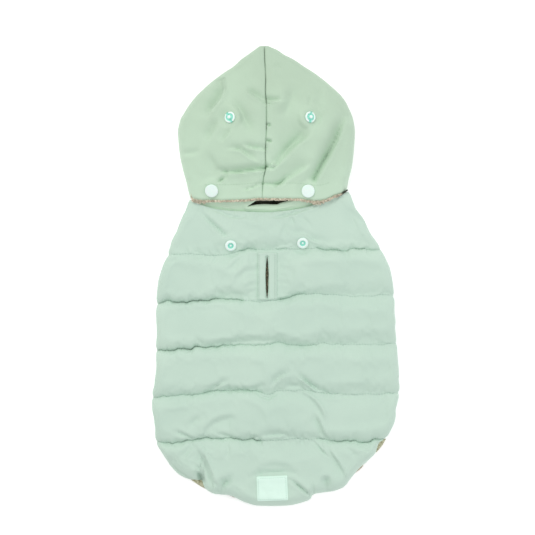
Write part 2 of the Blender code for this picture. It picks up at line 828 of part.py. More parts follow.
def add_welts(panel):
    inner = SLIT_WIDTH / 2 + WELT_LIP
    outer = PLACKET_HALF_WIDTH - WELT_MARGIN
    for name, left, right in (("leash_welt_left", SLIT_X - outer, SLIT_X - inner),
                              ("leash_welt_right", SLIT_X + inner, SLIT_X + outer)):
        add_patch(name, panel, (left, right, WELTS_LOW, WELTS_HIGH), WELT_STEPS,
                  WELT_CLOTH, "body_shell")


# ---------------------------------------------------------------- the collar

def collar_section():
    """(x, layer, angle) of the ring's columns.

    The layer is 1 above, 0 beneath and 0.5 in the side folds, where the angle
    says how far round the fold a column lies.
    """
    left, right = COLLAR_LEFT + COLLAR_FOLD, COLLAR_RIGHT - COLLAR_FOLD
    upper = [(lerp(left, right, i / COLLAR_COLUMNS), 1.0, 0.0)
             for i in range(COLLAR_COLUMNS + 1)]
    right_fold = [(right, 0.5, angle) for angle in COLLAR_ANGLES]
    lower = [(x, 0.0, 0.0) for x, _, _ in reversed(upper)]
    left_fold = [(left, 0.5, 180 + angle) for angle in COLLAR_ANGLES]
    return upper, right_fold, lower, left_fold


def add_collar():
    """A flattened ring of cloth from the neckline seam up to its rim under the hood."""
    upper, right_fold, lower, left_fold = collar_section()
    middle = COLLAR_TOP / 2
    outer, inner = [], []
    for share in COLLAR_SHARES:
        outer_row, inner_row = [], []
        for x, layer, angle in upper + right_fold + lower + left_fold:
            reach = math.cos(math.radians(angle)) if layer == 0.5 else 0.0
            rise = math.sin(math.radians(angle))
            x_out = x + COLLAR_FOLD * reach
            seam = line_y_at(0, x_out) + COLLAR_SEAM_GAP
            rim = collar_rim(x_out) if layer else collar_front_rim(x_out)
            y = lerp(seam, max(rim, seam + COLLAR_LEAST_HEIGHT), share)
            if layer == 0.5:
                x_in = x + (COLLAR_FOLD - COLLAR_CLOTH) * reach
                outer_row.append((x_out, y, middle + middle * rise))
                inner_row.append((x_in, y, middle + (middle - COLLAR_CLOTH) * rise))
            else:
                sag = collar_sag(x) * smooth_step(share, COLLAR_SHARES[1], 1.0)
                outer_row.append((x, y, layer * (COLLAR_TOP - sag)))
                inner_row.append((x, y, lerp(COLLAR_CLOTH, COLLAR_TOP - sag - COLLAR_CLOTH, layer)))
        outer.append(outer_row)
        inner.append(inner_row)
    return add_wall("collar", outer, inner, "hood_shell", ring=True)


# ---------------------------------------------------------------- the hood

def hood_row_y(base, x):
    """A hood row's height up the jacket, bent to the hem over the lowest rows."""
    bend = 1 - smooth_step(base, HOOD_ROWS[-1], HOOD_ROWS[-1] + HEM_BEND_REACH)
    return base + (hood_hem(x) - HOOD_ROWS[-1]) * bend


def hood_half_row(base, side):
    """(x, y, z outside, x inside, z inside) from the seam to the end of the turned side."""
    edge_of = hood_left_edge if side < 0 else hood_right_edge
    edge = edge_of(hood_row_y(base, edge_of(base)))
    seam = hood_seam(base) + side * SEAM_GAP / 2
    width = abs(edge - seam)
    edge_y = hood_row_y(base, edge)
    fold = hood_fold(edge_y, width)
    start = edge - side * fold.radius
    points = []
    for i in range(HOOD_COLUMNS + 1):
        x = lerp(seam, start, (i / HOOD_COLUMNS) ** HOOD_COLUMN_POWER)
        y = hood_row_y(base, x)
        z = hood_height(x, y)
        points.append((x, y, z, x, z - min(HOOD_CLOTH, fold.wall + TIP_EXTRA)))
    top, inside = points[-1][2], points[-1][4]
    outer = fold_points(edge, side, top, fold, outside=True)
    inner = fold_points(edge, side, inside, fold, outside=False)
    for (x, z), (x_in, z_in) in zip(outer, inner):
        points.append((x, hood_row_y(base, x), z, x_in, z_in))
    return points


def add_hood_half(name, side):
    rows = [hood_half_row(base, side) for base in HOOD_ROWS]
    outer = [[(x, y, z) for x, y, z, _, _ in row] for row in rows]
    inner = [[(x_in, y, z_in) for _, y, _, x_in, z_in in row] for row in rows]
    return add_wall(name, outer, inner, "hood_shell")


def add_hood_lining():
    """The strip of sherpa inside the hood's hem, a little longer than the hem."""
    places = [lerp(*LINING_STRIP_ENDS, j / LINING_STRIP_COLUMNS)
              for j in range(LINING_STRIP_COLUMNS + 1)]
    lines = [[(x, hood_hem(x) + rise) for x in places] for rise in LINING_STRIP_ROWS]
    lines.append([(x, hood_hem(x) - lining_shows(x)) for x in places])
    upper, lower = [], []
    for line in lines:
        tops = [(x, y, hood_height(x, max(y, hood_hem(x))) - HOOD_CLOTH - LIFT)
                for x, y in line]
        upper.append(tops)
        lower.append([(x, y, z - LINING_STRIP) for x, y, z in tops])
    return add_wall("hood_lining", upper, lower, "sherpa")


# ---------------------------------------------------------------- snaps

def add_snap(name, kind):
    """A turned snap, square to its seat."""
    mesh = bpy.data.meshes.new(name)
    points = [(radius * MM, 0.0, height * MM) for radius, height in SNAP_PROFILES[kind]]
    edges = [(i, i + 1) for i in range(len(points) - 1)]
    mesh.from_pydata(points, edges, [])
    mesh.materials.append(materials["snap_plastic"])
    snap = bpy.data.objects.new(name, mesh)
    jacket.objects.link(snap)
    turn = snap.modifiers.new("turned", "SCREW")
    turn.steps = SNAP_SIDES
    turn.render_steps = SNAP_SIDES
    turn.use_merge_vertices = True
    turn.merge_threshold = SNAP_WELD
    seat = seats[name]
    normal = Vector((-seat.slope_x, -seat.slope_y, 1.0)).normalized()
    base = Vector((seat.x, seat.y, seat.z)) + normal * LIFT
    snap.location = base * MM
    snap.rotation_euler = Vector((0, 0, 1)).rotation_difference(normal).to_euler()
    return snap


# ---------------------------------------------------------------- the jacket

def make_materials():
    made = {}
    for name, (red, green, blue, roughness) in MATERIALS.items():
        material = bpy.data.materials.new(name)
        material.use_nodes = True
        shader = material.node_tree.nodes["Principled BSDF"]
        shader.inputs["Base Color"].default_value = (red, green, blue, 1.0)
        shader.inputs["Roughness"].default_value = roughness
        shader.inputs["Metallic"].default_value = 0.0
        made[name] = material
    return made


def build_jacket():
    rows = body_rows()
    belly_end = len(YOKE_SHARES) + BELLY_CHANNELS * len(CHANNEL_SHARES)
    lining_end = len(rows) - len(HEM_BAND)
    back = panel_tree(add_back_panel(rows))
    add_under_panel("belly_panel", rows[:belly_end + 1], "body_shell")
    add_under_panel("tail_lining", rows[belly_end:lining_end + 1], "sherpa",
                    first_shift=-SEAM_GAP)
    add_hem_linings()
    add_welts(back)
    add_patch("label_patch", back, (LABEL_LEFT, LABEL_RIGHT, LABEL_LOW, LABEL_HIGH),
              LABEL_STEPS, LABEL_CLOTH, "label_cloth")
    add_collar()
    add_hood_half("hood_left", -1)
    add_hood_half("hood_right", 1)
    add_hood_lining()
    for name, kind, _, _ in SNAPS:
        add_snap(name, kind)


for old in list(bpy.data.objects):
    bpy.data.objects.remove(old, do_unlink=True)
jacket = bpy.data.collections.new("dog_puffer_jacket")
bpy.context.scene.collection.children.link(jacket)
materials = make_materials()
build_jacket()
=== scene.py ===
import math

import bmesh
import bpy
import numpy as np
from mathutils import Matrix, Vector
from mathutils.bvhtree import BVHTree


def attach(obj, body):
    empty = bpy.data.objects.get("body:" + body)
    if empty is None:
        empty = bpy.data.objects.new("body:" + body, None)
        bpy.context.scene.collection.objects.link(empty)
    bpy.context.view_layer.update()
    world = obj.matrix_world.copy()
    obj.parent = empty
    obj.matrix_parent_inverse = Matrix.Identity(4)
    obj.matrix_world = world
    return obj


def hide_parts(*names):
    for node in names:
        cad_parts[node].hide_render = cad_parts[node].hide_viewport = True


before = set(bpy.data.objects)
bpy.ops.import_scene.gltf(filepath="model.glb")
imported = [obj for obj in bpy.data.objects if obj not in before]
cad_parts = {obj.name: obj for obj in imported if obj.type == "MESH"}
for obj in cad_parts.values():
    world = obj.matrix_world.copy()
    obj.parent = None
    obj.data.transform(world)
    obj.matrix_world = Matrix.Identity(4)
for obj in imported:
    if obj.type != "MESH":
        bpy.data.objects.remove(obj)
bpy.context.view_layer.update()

# The looks of a dog puffer jacket with a snap-on hood, laid flat with its back up.
#
# The tables and functions work in millimetres, in the frame of the solids: +X is the
# right-hand side as the jacket lies, +Y runs from its tail to the tip of its hood and
# +Z is up. The meshes are written in metres. Paths of folds and stitching are given in
# pixels of the photograph, across and down, and photo() turns them into millimetres.

MM = 0.001
PIXEL = 0.94                            # millimetres of the jacket in one pixel
PHOTO_CENTRE = (275.3, 275.8)
FRAME_PIXELS = 535
LENS, SENSOR = 85.0, 36.0
CAMERA_DISTANCE = FRAME_PIXELS * PIXEL * LENS / SENSOR
SHARP_HEIGHT = 6.0                      # where a pixel is exactly PIXEL wide

# Cloth thicknesses
BELLY_CLOTH = 3.4
COLLAR_CLOTH = 2.2
HOOD_CLOTH = 3.0
STITCHED_CLOTH = 4.0
LABEL_CLOTH = 0.8
WELT_CLOTH = 1.2
LIFT = 0.6

# ---- the body's tables

BODY_OUTLINE = (
    # y, left, right
    (78.5, -81.5, 70), (71.5, -81.7, 72.4), (62, -85, 76.8), (54.5, -88.3, 81.7), (43, -93, 88),
    (32, -98, 95.1), (20, -101, 102.2), (9, -105.6, 107), (-8, -110.6, 110.7), (-30, -111.9, 112.7),
    (-58, -112.1, 113.7), (-81, -112.3, 115.6), (-100, -113.6, 116.8), (-109, -115.2, 116.4),
    (-120, -115.9, 114.6), (-132, -114.8, 113.2), (-143, -113, 109.3), (-152.5, -112.7, 104),
    (-157, -112, 97.9), (-165.5, -107.8, 95), (-177.5, -100.2, 84.7),
)
TAIL_HEM = (
    # x, y
    (-99.5, -178.5), (-90, -187.6), (-80.2, -191.8), (-74, -192.6), (-69.4, -193.4), (-66.3, -200.2),
    (-56, -205.7), (-44.5, -206.7), (-27.5, -213.8), (-16, -216.6), (-2, -216.9), (12, -216.4),
    (28.5, -212.6), (33.2, -210.3), (35.6, -205.9), (41, -204.8), (52, -203.5), (62.5, -200.2),
    (66.6, -197.2), (69.6, -193), (79.5, -181.2), (84.7, -177),
)
# Quilting lines: loft of the zone below, and the line's path in photo pixels
QUILT_LINES = (
    (6, ((189, 199.5), (204, 206), (220, 209.7), (244, 211.6), (264, 212.3), (282, 211.2), (305.5, 207.5),
     (320, 203.4), (334, 198), (348, 192))),
    (9, ((170, 255.3), (186, 254), (205, 254.6), (222, 255.4), (240, 250.8), (249, 249.1), (264, 250.2),
     (280, 248.8), (300, 248.6), (316, 248.7), (330, 250.2), (344, 250.8), (353, 248.7), (374, 250))),
    (9.5, ((158, 303.8), (167, 300.6), (178, 301.4), (188, 302.2), (194, 300.2), (208, 301.2), (216, 299),
     (240, 299.8), (256, 301.5), (272, 299.8), (287, 298), (296, 295), (308, 293.8), (330, 294.2),
     (342, 294.9), (353, 296.2), (370, 295.4), (386, 294.8), (394, 296.2))),
    (9.5, ((156, 349.6), (165, 349.9), (175, 350.3), (179, 348.6), (190, 349.4), (196, 346.6),
     (208, 346.8), (216, 347), (226, 344.6), (241, 344.7), (258, 344.9), (270, 343.6), (280, 341.8),
     (289, 344.7), (304, 345.3), (314, 344.7), (322, 342.4), (336, 344.1), (370, 344.1), (396, 343))),
    (9, ((154, 397), (169, 395.8), (183, 394.5), (194, 394), (208, 392), (217, 389.8), (226, 390),
     (241, 390.3), (254, 390.2), (268, 393.5), (280, 389.8), (302, 389.4), (321, 392), (337, 393),
     (356, 393.4), (375, 393), (396, 392.6))),
    (7.5, ((159, 441.8), (169, 442.3), (180, 441.6), (191, 439.2), (199, 438.8), (205, 437), (217, 438),
     (230, 437.2), (245, 439.7), (252, 438.2), (259, 440.6), (272, 439.8), (284, 438.8), (299, 438.1),
     (311, 438.7), (322, 438.2), (329, 440.4), (343, 440.3), (352, 440), (360, 442.2), (367, 441.4),
     (376, 438.6), (386, 438.5))),
)
# How sharp each quilting line is drawn in, and how much painted shade lies in it, from 0 to 1, at pixels
# across the photo
LINE_SHARPNESS = (
    ((189, 0.1), (210, 0.12), (226, 0.3), (302, 0.3), (316, 0.1), (348, 0.1)),
    ((170, 0.1), (205, 0.08), (224, 0.12), (233, 0.3), (241, 0.65), (254, 0.7), (259, 0.15), (272, 0.15),
     (277, 0.4), (285, 0.35), (292, 0.05), (312, 0.08), (318, 0.55), (335, 0.65), (350, 0.5), (360, 0.65),
     (372, 0.6)),
    ((159, 1), (205, 1), (222, 0.8), (240, 0.7), (246, 0.12), (275, 0.05), (281, 0.55), (300, 0.45),
     (310, 0.25), (325, 0.25), (345, 0.1), (394, 0.12)),
    ((157, 1), (195, 1), (215, 0.65), (235, 0.4), (262, 0.32), (285, 0.35), (305, 0.4), (315, 0.3),
     (335, 0.12), (350, 0.1), (395, 0.15)),
    ((155, 0.6), (165, 0.35), (180, 0.35), (200, 0.4), (210, 0.55), (222, 0.4), (240, 0.4), (256, 0.45),
     (267, 0.08), (316, 0.08), (326, 0.25), (345, 0.15), (360, 0.1), (394, 0.1)),
    ((160, 0.6), (180, 0.55), (192, 0.9), (206, 0.9), (215, 0.5), (228, 0.7), (250, 0.8), (257, 0.9),
     (264, 0.2), (292, 0.12), (306, 0.2), (314, 0.2), (322, 0.6), (332, 0.65), (350, 0.9), (356, 0.5),
     (366, 0.9), (376, 0.7)),
)
# Creases: depth, half width and lip on the left and right of the path, in millimetres,
# strength at the path's start and end, and the path in photo pixels
BODY_CREASES = (
    # depth, widths, lips, strengths, path
    (2.2, 2.2, 1.6, 0.2, 0.5, 0.1, 0.4, ((199, 210.8), (207, 219), (214.2, 226), (222.7, 233.3),
     (230.5, 238))),
    (1, 4, 1.5, 0.1, 0.3, 0.3, 0, ((222, 234), (232, 238), (241, 240.3), (248, 240))),
    (1.3, 2.2, 1.2, 0.2, 0.3, 0.1, 0.1, ((205, 206.5), (214, 209.8), (224, 213.5), (231, 216.5),
     (241, 217.4), (251, 217))),
    (1.5, 2.2, 1.2, 0.2, 0.4, 0.2, 0.2, ((264, 217.4), (278.6, 216.8), (287, 214.7), (297, 212),
     (305, 209), (315, 206))),
    (1, 1.4, 2.4, 0.3, 0.1, 0, 0.2, ((290.5, 215), (292, 219), (294, 225))),
    (0.8, 2, 3, 0.1, 0.2, 0, 0.2, ((298, 214), (307, 221.4), (313, 229))),
    (2.8, 3, 1.6, 0.2, 0.5, 0.2, 0.3, ((292, 231.5), (299, 233.5), (307, 235.5), (313, 239),
     (321, 240.6))),
    (0.8, 2.5, 2.5, 0.1, 0.2, 0, 0.2, ((284.3, 222), (284.6, 236))),
    (1.8, 6, 1.5, 0, 0.4, 0, 0.5, ((243, 250.5), (252, 249.5), (262, 249.8), (272, 248.5), (280, 245.5),
     (287, 244.5), (292, 243))),
    (1, 1.4, 1.4, 0.2, 0.2, 0.1, 0.4, ((366, 230), (369, 238), (371.5, 246))),
    (1.8, 5, 7, 0, 0, 0, 0, ((353, 200), (354, 214), (352.5, 234))),
    (1.3, 2.4, 3.6, 0.3, 0.2, 0, 0.3, ((226, 272), (232, 268), (238, 261.5), (245, 254.5))),
    (1.2, 3, 3.8, 0.3, 0.2, 0, 0.4, ((234, 283), (240, 277), (246, 272), (257, 269))),
    (0.5, 1.6, 1.8, 0.3, 0.2, 0, 0.6, ((243, 281.5), (249, 277.5), (256, 276.5))),
    (0.4, 1.6, 1.8, 0.3, 0.2, 0, 0.6, ((244, 288.5), (250, 285), (256, 283.5))),
    (0.3, 1.6, 1.8, 0.3, 0.2, 0, 0.6, ((246, 294), (251, 291.4), (256, 290.4))),
    (2.7, 14, 3, 0, 0.2, 0, 0.4, ((206, 298.5), (222, 297), (236, 296.5), (252, 297))),
    (0.2, 1.6, 2.2, 0.2, 0.2, 0.6, 0, ((281, 268), (285, 269), (291, 270))),
    (0.3, 1.6, 1.8, 0.2, 0.2, 0.6, 0, ((281, 275.5), (286, 275.3), (291, 274.5))),
    (0.3, 1.4, 1.6, 0.2, 0.2, 0.6, 0, ((279, 281.5), (284, 282.5), (291, 284))),
    (1.3, 3.6, 1.8, 0.1, 0.3, 0.4, 0, ((197, 344), (207, 345.5), (221, 344), (236, 342.3), (250, 341.5),
     (262, 341.2), (276, 340.2), (292, 343))),
    (1.6, 3, 1.6, 0.2, 0.4, 0.2, 0, ((207, 392), (214.3, 387.5), (221.4, 382.8), (232, 379.5))),
    (1.5, 2.6, 1.3, 0.2, 0.4, 0.2, 0.2, ((217, 388.3), (225.7, 390.2), (235.7, 391), (247, 390.3),
     (255.7, 388.8), (264, 386))),
    (1.9, 3.6, 1.6, 0, 0.6, 0, 0, ((270.5, 390), (272.2, 384.5), (275.5, 379.5), (280.5, 375.5),
     (287, 373), (294, 371.5))),
    (1.3, 3.4, 1.8, 0, 0.4, 0, 0, ((283, 387.5), (290, 386.6), (297, 386.6), (305, 388))),
    (2.4, 3, 1.3, 0, 0.9, 0.1, 0.6, ((295, 371.5), (304.3, 379.8), (311.4, 385.5), (318.6, 390.2),
     (325, 392.4))),
    (1.4, 1.8, 1.2, 0.2, 0.5, 0.2, 0.2, ((256, 392.5), (261.4, 397), (268.6, 399), (275, 394.5),
     (280, 391.5))),
    (0.6, 1.2, 1.2, 0.1, 0.3, 0.2, 0, ((321, 396), (335.7, 396.6), (350, 396), (372, 395.5))),
    (1.5, 3, 3, 0.3, 0.1, 0, 0.3, ((188.6, 429), (194.3, 421.5), (202, 416.5))),
    (2.2, 11, 2.4, 0, 0.5, 0, 0.4, ((240, 420), (230, 418), (221.4, 419.8), (214.3, 423), (206, 431))),
    (0.6, 2, 4.5, 0.5, 0, 0.2, 0.1, ((288, 393.5), (297, 394.4), (305, 396), (311.5, 400.5), (317, 407),
     (320.3, 414), (321.4, 423), (320.5, 429))),
    (-1.5, 2.6, 2, 0, 0, 0, 0, ((298, 391), (308, 393.5), (315.5, 398.5), (321, 405.5), (324.6, 413),
     (325.6, 424))),
    (1.7, 1.6, 3.4, 0.4, 0, 0, 1, ((312.5, 411), (316.4, 418.5), (320, 426.5), (323, 433.4),
     (327.5, 440))),
    (1.3, 2, 10, 0, 0, 0.1, 1, ((313, 411), (317, 421), (320, 431), (322, 439))),
    (2, 1.6, 2, 0.3, 0.3, 0.1, 0.9, ((174, 431), (184.3, 435), (191.4, 439.4))),
    (1.6, 4, 1.4, 0, 0.4, 0.2, 0.2, ((260, 436), (271.4, 435.5), (283, 434.5), (291, 437))),
    (1.4, 2.2, 1.2, 0.1, 0.3, 0.2, 0.2, ((217, 434), (225.7, 436.6), (233, 438))),
    (1.8, 1.6, 1.6, 0.3, 0.3, 0.3, 0.3, ((250, 439.5), (255.7, 436.8), (259, 438.5))),
    (3, 2.4, 5.4, 0.8, 0.3, 0.3, 1, ((194.5, 447.5), (200, 456), (205, 466), (208.6, 475), (212, 485))),
    (2.2, 1.5, 2.4, 0.2, 0.4, 0.2, 1, ((194, 464), (199, 469), (202.4, 473.5), (204, 480))),
    (6.4, 1.8, 2.6, 0.5, 0.2, 0.7, 1, ((198.4, 474.5), (199.8, 477.5), (201.2, 481))),
    (3.4, 6.5, 1.2, 0, 0, 0.2, 1, ((163, 453), (169, 463), (176.5, 471.4), (187, 478.6), (197, 483.4))),
    (1.2, 2, 4, 0.2, 0.4, 0.5, 0, ((191.4, 443), (187.5, 451.4), (182, 460))),
    (0.8, 3, 3, 0.2, 0.4, 0.4, 0, ((225.7, 440), (227.5, 450), (228, 462))),
    (3.6, 2.4, 4.8, 0.6, 0.2, 0, 0.9, ((233, 484), (228.5, 482), (224.5, 484), (222, 488), (221, 493))),
    (1.6, 2, 2, 0.3, 0.3, 0.1, 1, ((214, 481), (217, 487), (217, 492))),
    (2.7, 5, 2.2, 0, 0.2, 0, 0, ((243, 479.5), (251, 477), (259, 474.6), (272, 473.4), (286, 473),
     (295, 474), (303, 479.5))),
    (0.6, 3, 2, 0.1, 0.2, 0, 0, ((256, 467.5), (266, 466.2), (280, 466), (291, 467), (297, 469))),
    (2.3, 1.7, 1.5, 0.6, 0.4, 0.4, 0.8, ((289.5, 479), (300, 487.3), (307, 493.2), (313, 498))),
    (1.2, 1, 1.2, 0.3, 0.3, 0.6, 0.4, ((314, 442.5), (321.4, 450.4), (328, 457))),
    (2.1, 1.2, 8.5, 0.8, 0, 0.1, 0.2, ((327, 446), (332.5, 456), (338, 464.5), (342.5, 472.5),
     (346, 480))),
    (3.5, 4.5, 5.5, 0.3, 0.2, 0, 0.8, ((324.5, 474), (326.5, 482), (328, 493))),
    (0.8, 2.4, 2.4, 0.2, 0.2, 0.3, 0, ((345, 446), (352, 452), (358, 460))),
)

LAST_ZONE = len(QUILT_LINES) - 1        # zones lie below their quilting lines; the last is the tail
SLIT_ZONE = 1
LINE_WAVES = ((0.5, 140, 2.6), (0.45, 150, 6.5))    # height, first seed and length
CREASE_POWER = 1.6                      # how a crease's sides fall
CREASE_LIP = 1.9                        # where its lips stand, in half widths from its path
CREASE_ENDS = 0.4                       # share of its length over which an end's strength fades

# The belly and the tail's lining
MIDDLE_SHARE = 0.47                     # where across the body the belly's upper end is lowest
BELLY_TOPS = (71.5, 59.7, 78.5)         # at its left end, there, and at its right end
BELLY_TOP_BOW = 2.4
LINING_INSET = 2.5                      # how much narrower the tail's lining is near the hem
INSET_GROWS = (-140.0, -162.0)
LINING_GAP = 0.3                        # on each side of the seam between belly and lining

# The back
PANEL_GAP = 0.6
BACK_INSIDE = BELLY_CLOTH + PANEL_GAP
SIDE_DROP = 0.2                         # share of its loft that a channel loses towards its ends
SIDE_RADIUS = 8.5
SIDE_WALL = 3.4
TURN_UNDER = 30.0
SMALLEST_TURN = 0.8
EDGE_LOW = 0.3                          # lowest height of an edge's inner side
HEM_ROLL = 12.0                         # width of the band that rolls down to the hem
HEM_EDGE_TOP = 2.2
HEM_LIP = 3.0
HEM_INSIDE_RISE = 5.0
HEM_HELD = 0.6                          # share of the band that the hem holds still
TAIL_SWELL = 0.35                       # share of the tail over which it rises to its full loft
SWELL_POWER = 0.62                      # of the solids' channels
SHARP_POWER, SOFTER_POWER = 0.58, 0.95  # beside a sharp line, and what a soft line adds
SOFT_LINE_RISE = 3.4                    # how high the stitches of a soft line stay
SOFT_SHARPNESS = (0.65, 0.1)            # from where to where a line is soft
CROWN_POWER = 2.8
FULL_CREASE_LOFT = 6.0                  # loft from which creases have their full depth
BODY_FOLDING = 1.5                      # how much deeper the creases are than in their table
HEM_FOLDING = 0.35                      # share of that at the hem
LEAST_WALL = 1.3
NICK_DEPTH, NICK_WIDTH = 1.1, 2.4       # in the outline, at each quilting line
PUCKER_STRENGTHS = (0.8, 1.0)           # below and above a quilting line
PUCKER_REACHES = (1.9, 5.5)             # of the short and the long gathers
ROW_CROWDING = 0.62                     # how much closer rows are beside a quilting line
HEM_CROWDING = 1.6                      # and towards the hem
FOLD_ROUNDS = (-166.0, -151.0)          # between which the side folds grow round
TURN_GROWS = (-152.0, -105.0)           # and the turned cloth grows to its full width
TURN_SHRINKS = (42.0, 78.0)
NECK_TURN_LOSS = 0.5
FOLD_CENTRE = 6.0
LEG_HOLE_Y = 14.0
LEG_HOLE_LENGTH = 60.0
LEG_HOLE_IN_BACK = 14.0
LEG_HOLE_IN_BELLY = 26.0

# Simulation of the quilted cloth
CLOTH_SETTINGS = dict(quality=6, mass=0.3, tension_stiffness=12.0, compression_stiffness=6.0,
                      shear_stiffness=3.0, bending_stiffness=0.02, air_damping=1.0,
                      use_pressure=True, uniform_pressure_force=4.0, vertex_group_mass="held",
                      shrink_min=-0.008)
CLOTH_FRAMES = 20
MOST_SWELLING = 1.8

SLIT_X = -7.7
SLIT_WIDTH = 3.0
SLIT_LOW, SLIT_HIGH = -21.5, 18.5
SLIT_END_WIDTH = 0.3
PLACKET_HALF_WIDTH = 8.2
PLACKET_HEIGHT = BACK_INSIDE + 8.0
PLACKET_BLENDS = (15.0, 24.0)           # on the left and on the right
PLACKET_ENDS = 0.1
CHANNEL_HEIGHT = 15.0
WELTS_LOW, WELTS_HIGH = -22.6, 21.8
WELTS = (
    # name,              sides and topstitch, from the middle of the slit
    ("leash_welt_left", -8.9, -1.7, -7.6),
    ("leash_welt_right", 1.7, 9.2, 7.3),
)
WELTS_MEET = 2.4                            # how far the welts close in beyond the slit's ends

# ---- the hood's tables

HOOD_OUTLINE = (
    # y, left, right, seam x
    (216, -15.5, -5.5, -10.3), (212.5, -20, 2.5, -10.2), (208.5, -25.5, 8, -10.1), (203, -33, 18.5, -10),
    (197, -39.2, 27, -9.6), (191.5, -47.5, 35.6, -9.3), (186, -55, 43, -9.1), (180.5, -62, 49.7, -9),
    (174.5, -68.4, 56.4, -9.2), (169, -74, 62, -9.2), (163.5, -78.5, 66, -8.6), (157.5, -82.8, 69, -8.3),
    (152, -86, 71.5, -8.3), (146.5, -89.2, 73.3, -8.3), (135, -91.5, 74.8, -8.4),
    (124, -90.8, 74.3, -8.9), (112.5, -89.5, 73.3, -9.3), (101.5, -87.2, 71.8, -8.9),
    (90, -84.2, 69, -11.2), (80.7, -82.2, 67.6, -12), (72.5, -80, 66, -12.3),
)
HOOD_HEM = (
    # x, y
    (-80, 73.5), (-74, 71.5), (-65, 70.3), (-50, 70.2), (-29.5, 70.8), (-15, 72), (5, 71.8), (20.5, 71.6),
    (30, 70.6), (38.5, 69.8), (47, 71.2), (55, 74.8), (62, 77.4), (67.5, 81.2),
)
HOOD_HEIGHTS = (
    # y, ridge, side
    (66, 18, 13.6), (72, 18, 13.8), (84, 19.2, 14.4), (96, 23.6, 15.4), (110, 29, 16.5), (130, 32, 17),
    (150, 31.5, 16.5), (170, 27, 14.5), (190, 19, 11), (205, 12, 8), (212, 8.5, 6.5), (216, 6.5, 5.2),
)
HOOD_CREASES = (
    # depth, widths, lips, strengths, path
    (4.6, 1.9, 6, 0.5, 0.5, 0.2, 0.9, ((345.5, 110), (343, 119), (339.5, 129), (335.5, 140),
     (329.5, 152.2), (322.5, 164.4), (315, 178.5), (313, 184))),
    (1.6, 1.2, 2.2, 0.2, 0.2, 0, 0.6, ((333, 143), (327, 154), (320, 166), (314, 179))),
    (3.6, 1.9, 4.6, 0.6, 0, 0, 0.7, ((313, 130), (304, 136.5), (296, 142), (289, 148.6), (283, 155.5),
     (277, 161.5))),
    (4.4, 5, 20, 0, 0, 0.2, 0.4, ((311, 124), (298, 135), (286, 147), (276, 158))),
    (1.5, 1.2, 1.5, 0.3, 0.3, 0.2, 0.8, ((281, 159), (277.4, 164.2), (274, 167.4), (270.4, 168.3),
     (266.6, 166))),
    (2.4, 1.8, 8.5, 0.3, 0.1, 0, 0.8, ((313, 160.5), (304, 166.5), (296.5, 171), (290.5, 175.2),
     (285, 179), (280, 183))),
    (1.6, 1, 1.8, 0.4, 0.2, 0.2, 0.6, ((291, 175), (286, 177), (282.9, 180.4), (279.5, 183.6),
     (273.8, 184.4), (267, 184), (262.7, 183.6))),
    (1.2, 1, 1.5, 0.3, 0.1, 0.6, 0, ((262.7, 183.6), (258.2, 184.6), (255.4, 185.5), (252.7, 187.4),
     (247, 189.2), (238.2, 188))),
    (3.1, 3.4, 1.5, 0.3, 0.6, 0.5, 1, ((222, 170.8), (229.3, 171.6), (238.2, 171.2), (247, 169.8),
     (256, 168.6), (265, 167.8))),
    (2.6, 1.2, 1.9, 0.5, 0.2, 0.2, 1, ((226.5, 176), (222.4, 179), (218.5, 181.8), (214.6, 184.6))),
    (1.9, 1.4, 6.5, 0, 0.2, 0, 0.2, ((227, 167), (226.4, 173), (226, 179))),
    (1.9, 3.2, 1.4, 0.2, 0.5, 0, 0.8, ((241, 142.5), (247, 145), (252, 146.8), (258.2, 147.4),
     (264, 148))),
    (1.8, 3.6, 1.4, 0.2, 0.6, 0, 0.3, ((223, 147.6), (233.8, 148), (240.4, 149), (247, 153.4),
     (253.8, 158), (261, 161.6))),
    (2.6, 5.4, 3.4, 0, 0.1, 0.1, 0, ((230, 96), (235.5, 104), (240, 111.5), (245, 120), (250.5, 128.5),
     (257, 136.5))),
    (1.5, 1.3, 6, 0.5, 0, 0.1, 0, ((231.5, 126.5), (227.5, 132.5), (223.6, 138), (220.4, 143.5))),
    (2.5, 2.6, 6, 0.2, 0.1, 0.1, 0.2, ((219, 116), (213.5, 126), (208.5, 134.5), (203.5, 142.5))),
    (4.4, 1.8, 8, 1, 0.1, 0.3, 0, ((221.5, 77), (222.6, 90), (219.4, 97.8), (213.6, 105), (208.6, 112),
     (206.5, 122))),
    (2.6, 4, 1.8, 0.2, 0.6, 0, 0.7, ((244, 87), (250, 91.5), (256, 95.5), (262, 99.5), (266, 102))),
    (1.9, 2.6, 1.3, 0.2, 0.5, 0.6, 0.1, ((266.5, 98.9), (272, 99.4), (278, 99.6), (283, 100.5))),
    (1.8, 7, 4, 0, 0.6, 0, 0, ((290, 82), (292, 92), (291, 101), (287, 110), (281, 119))),
    (-2, 6, 6, 0, 0, 0, 0, ((278, 78), (281, 90), (279, 104), (275, 114))),
    (1, 3, 2, 0.2, 0.2, 0.1, 0.2, ((181, 154), (192.7, 153), (201.6, 149.5))),
    (1.6, 3, 7, 0.2, 0.3, 0, 0.2, ((205, 149), (210, 158), (214.5, 165), (217, 172), (215, 181))),
    (1.8, 1.3, 1, 0.2, 0.2, 1, 0, ((267.4, 124), (269, 124.4), (271, 125.6))),
    (2.2, 1.3, 1, 0.2, 0.2, 1, 0, ((267, 139.8), (269.5, 140.2), (272.6, 141.8))),
    (0.8, 3, 3, 0.2, 0.2, 0, 0, ((315, 86), (320.4, 97.8), (326.5, 105))),
    (0.9, 3, 3, 0.2, 0.2, 0.2, 0, ((313, 98), (318, 104), (322, 111))),
    (0.6, 1.5, 1.5, 0.2, 0.2, 0, 0.3, ((309, 94), (309.8, 108))),
    (0.9, 3, 3, 0.2, 0.2, 0, 0, ((272, 65), (278, 66.5), (284, 69))),
)
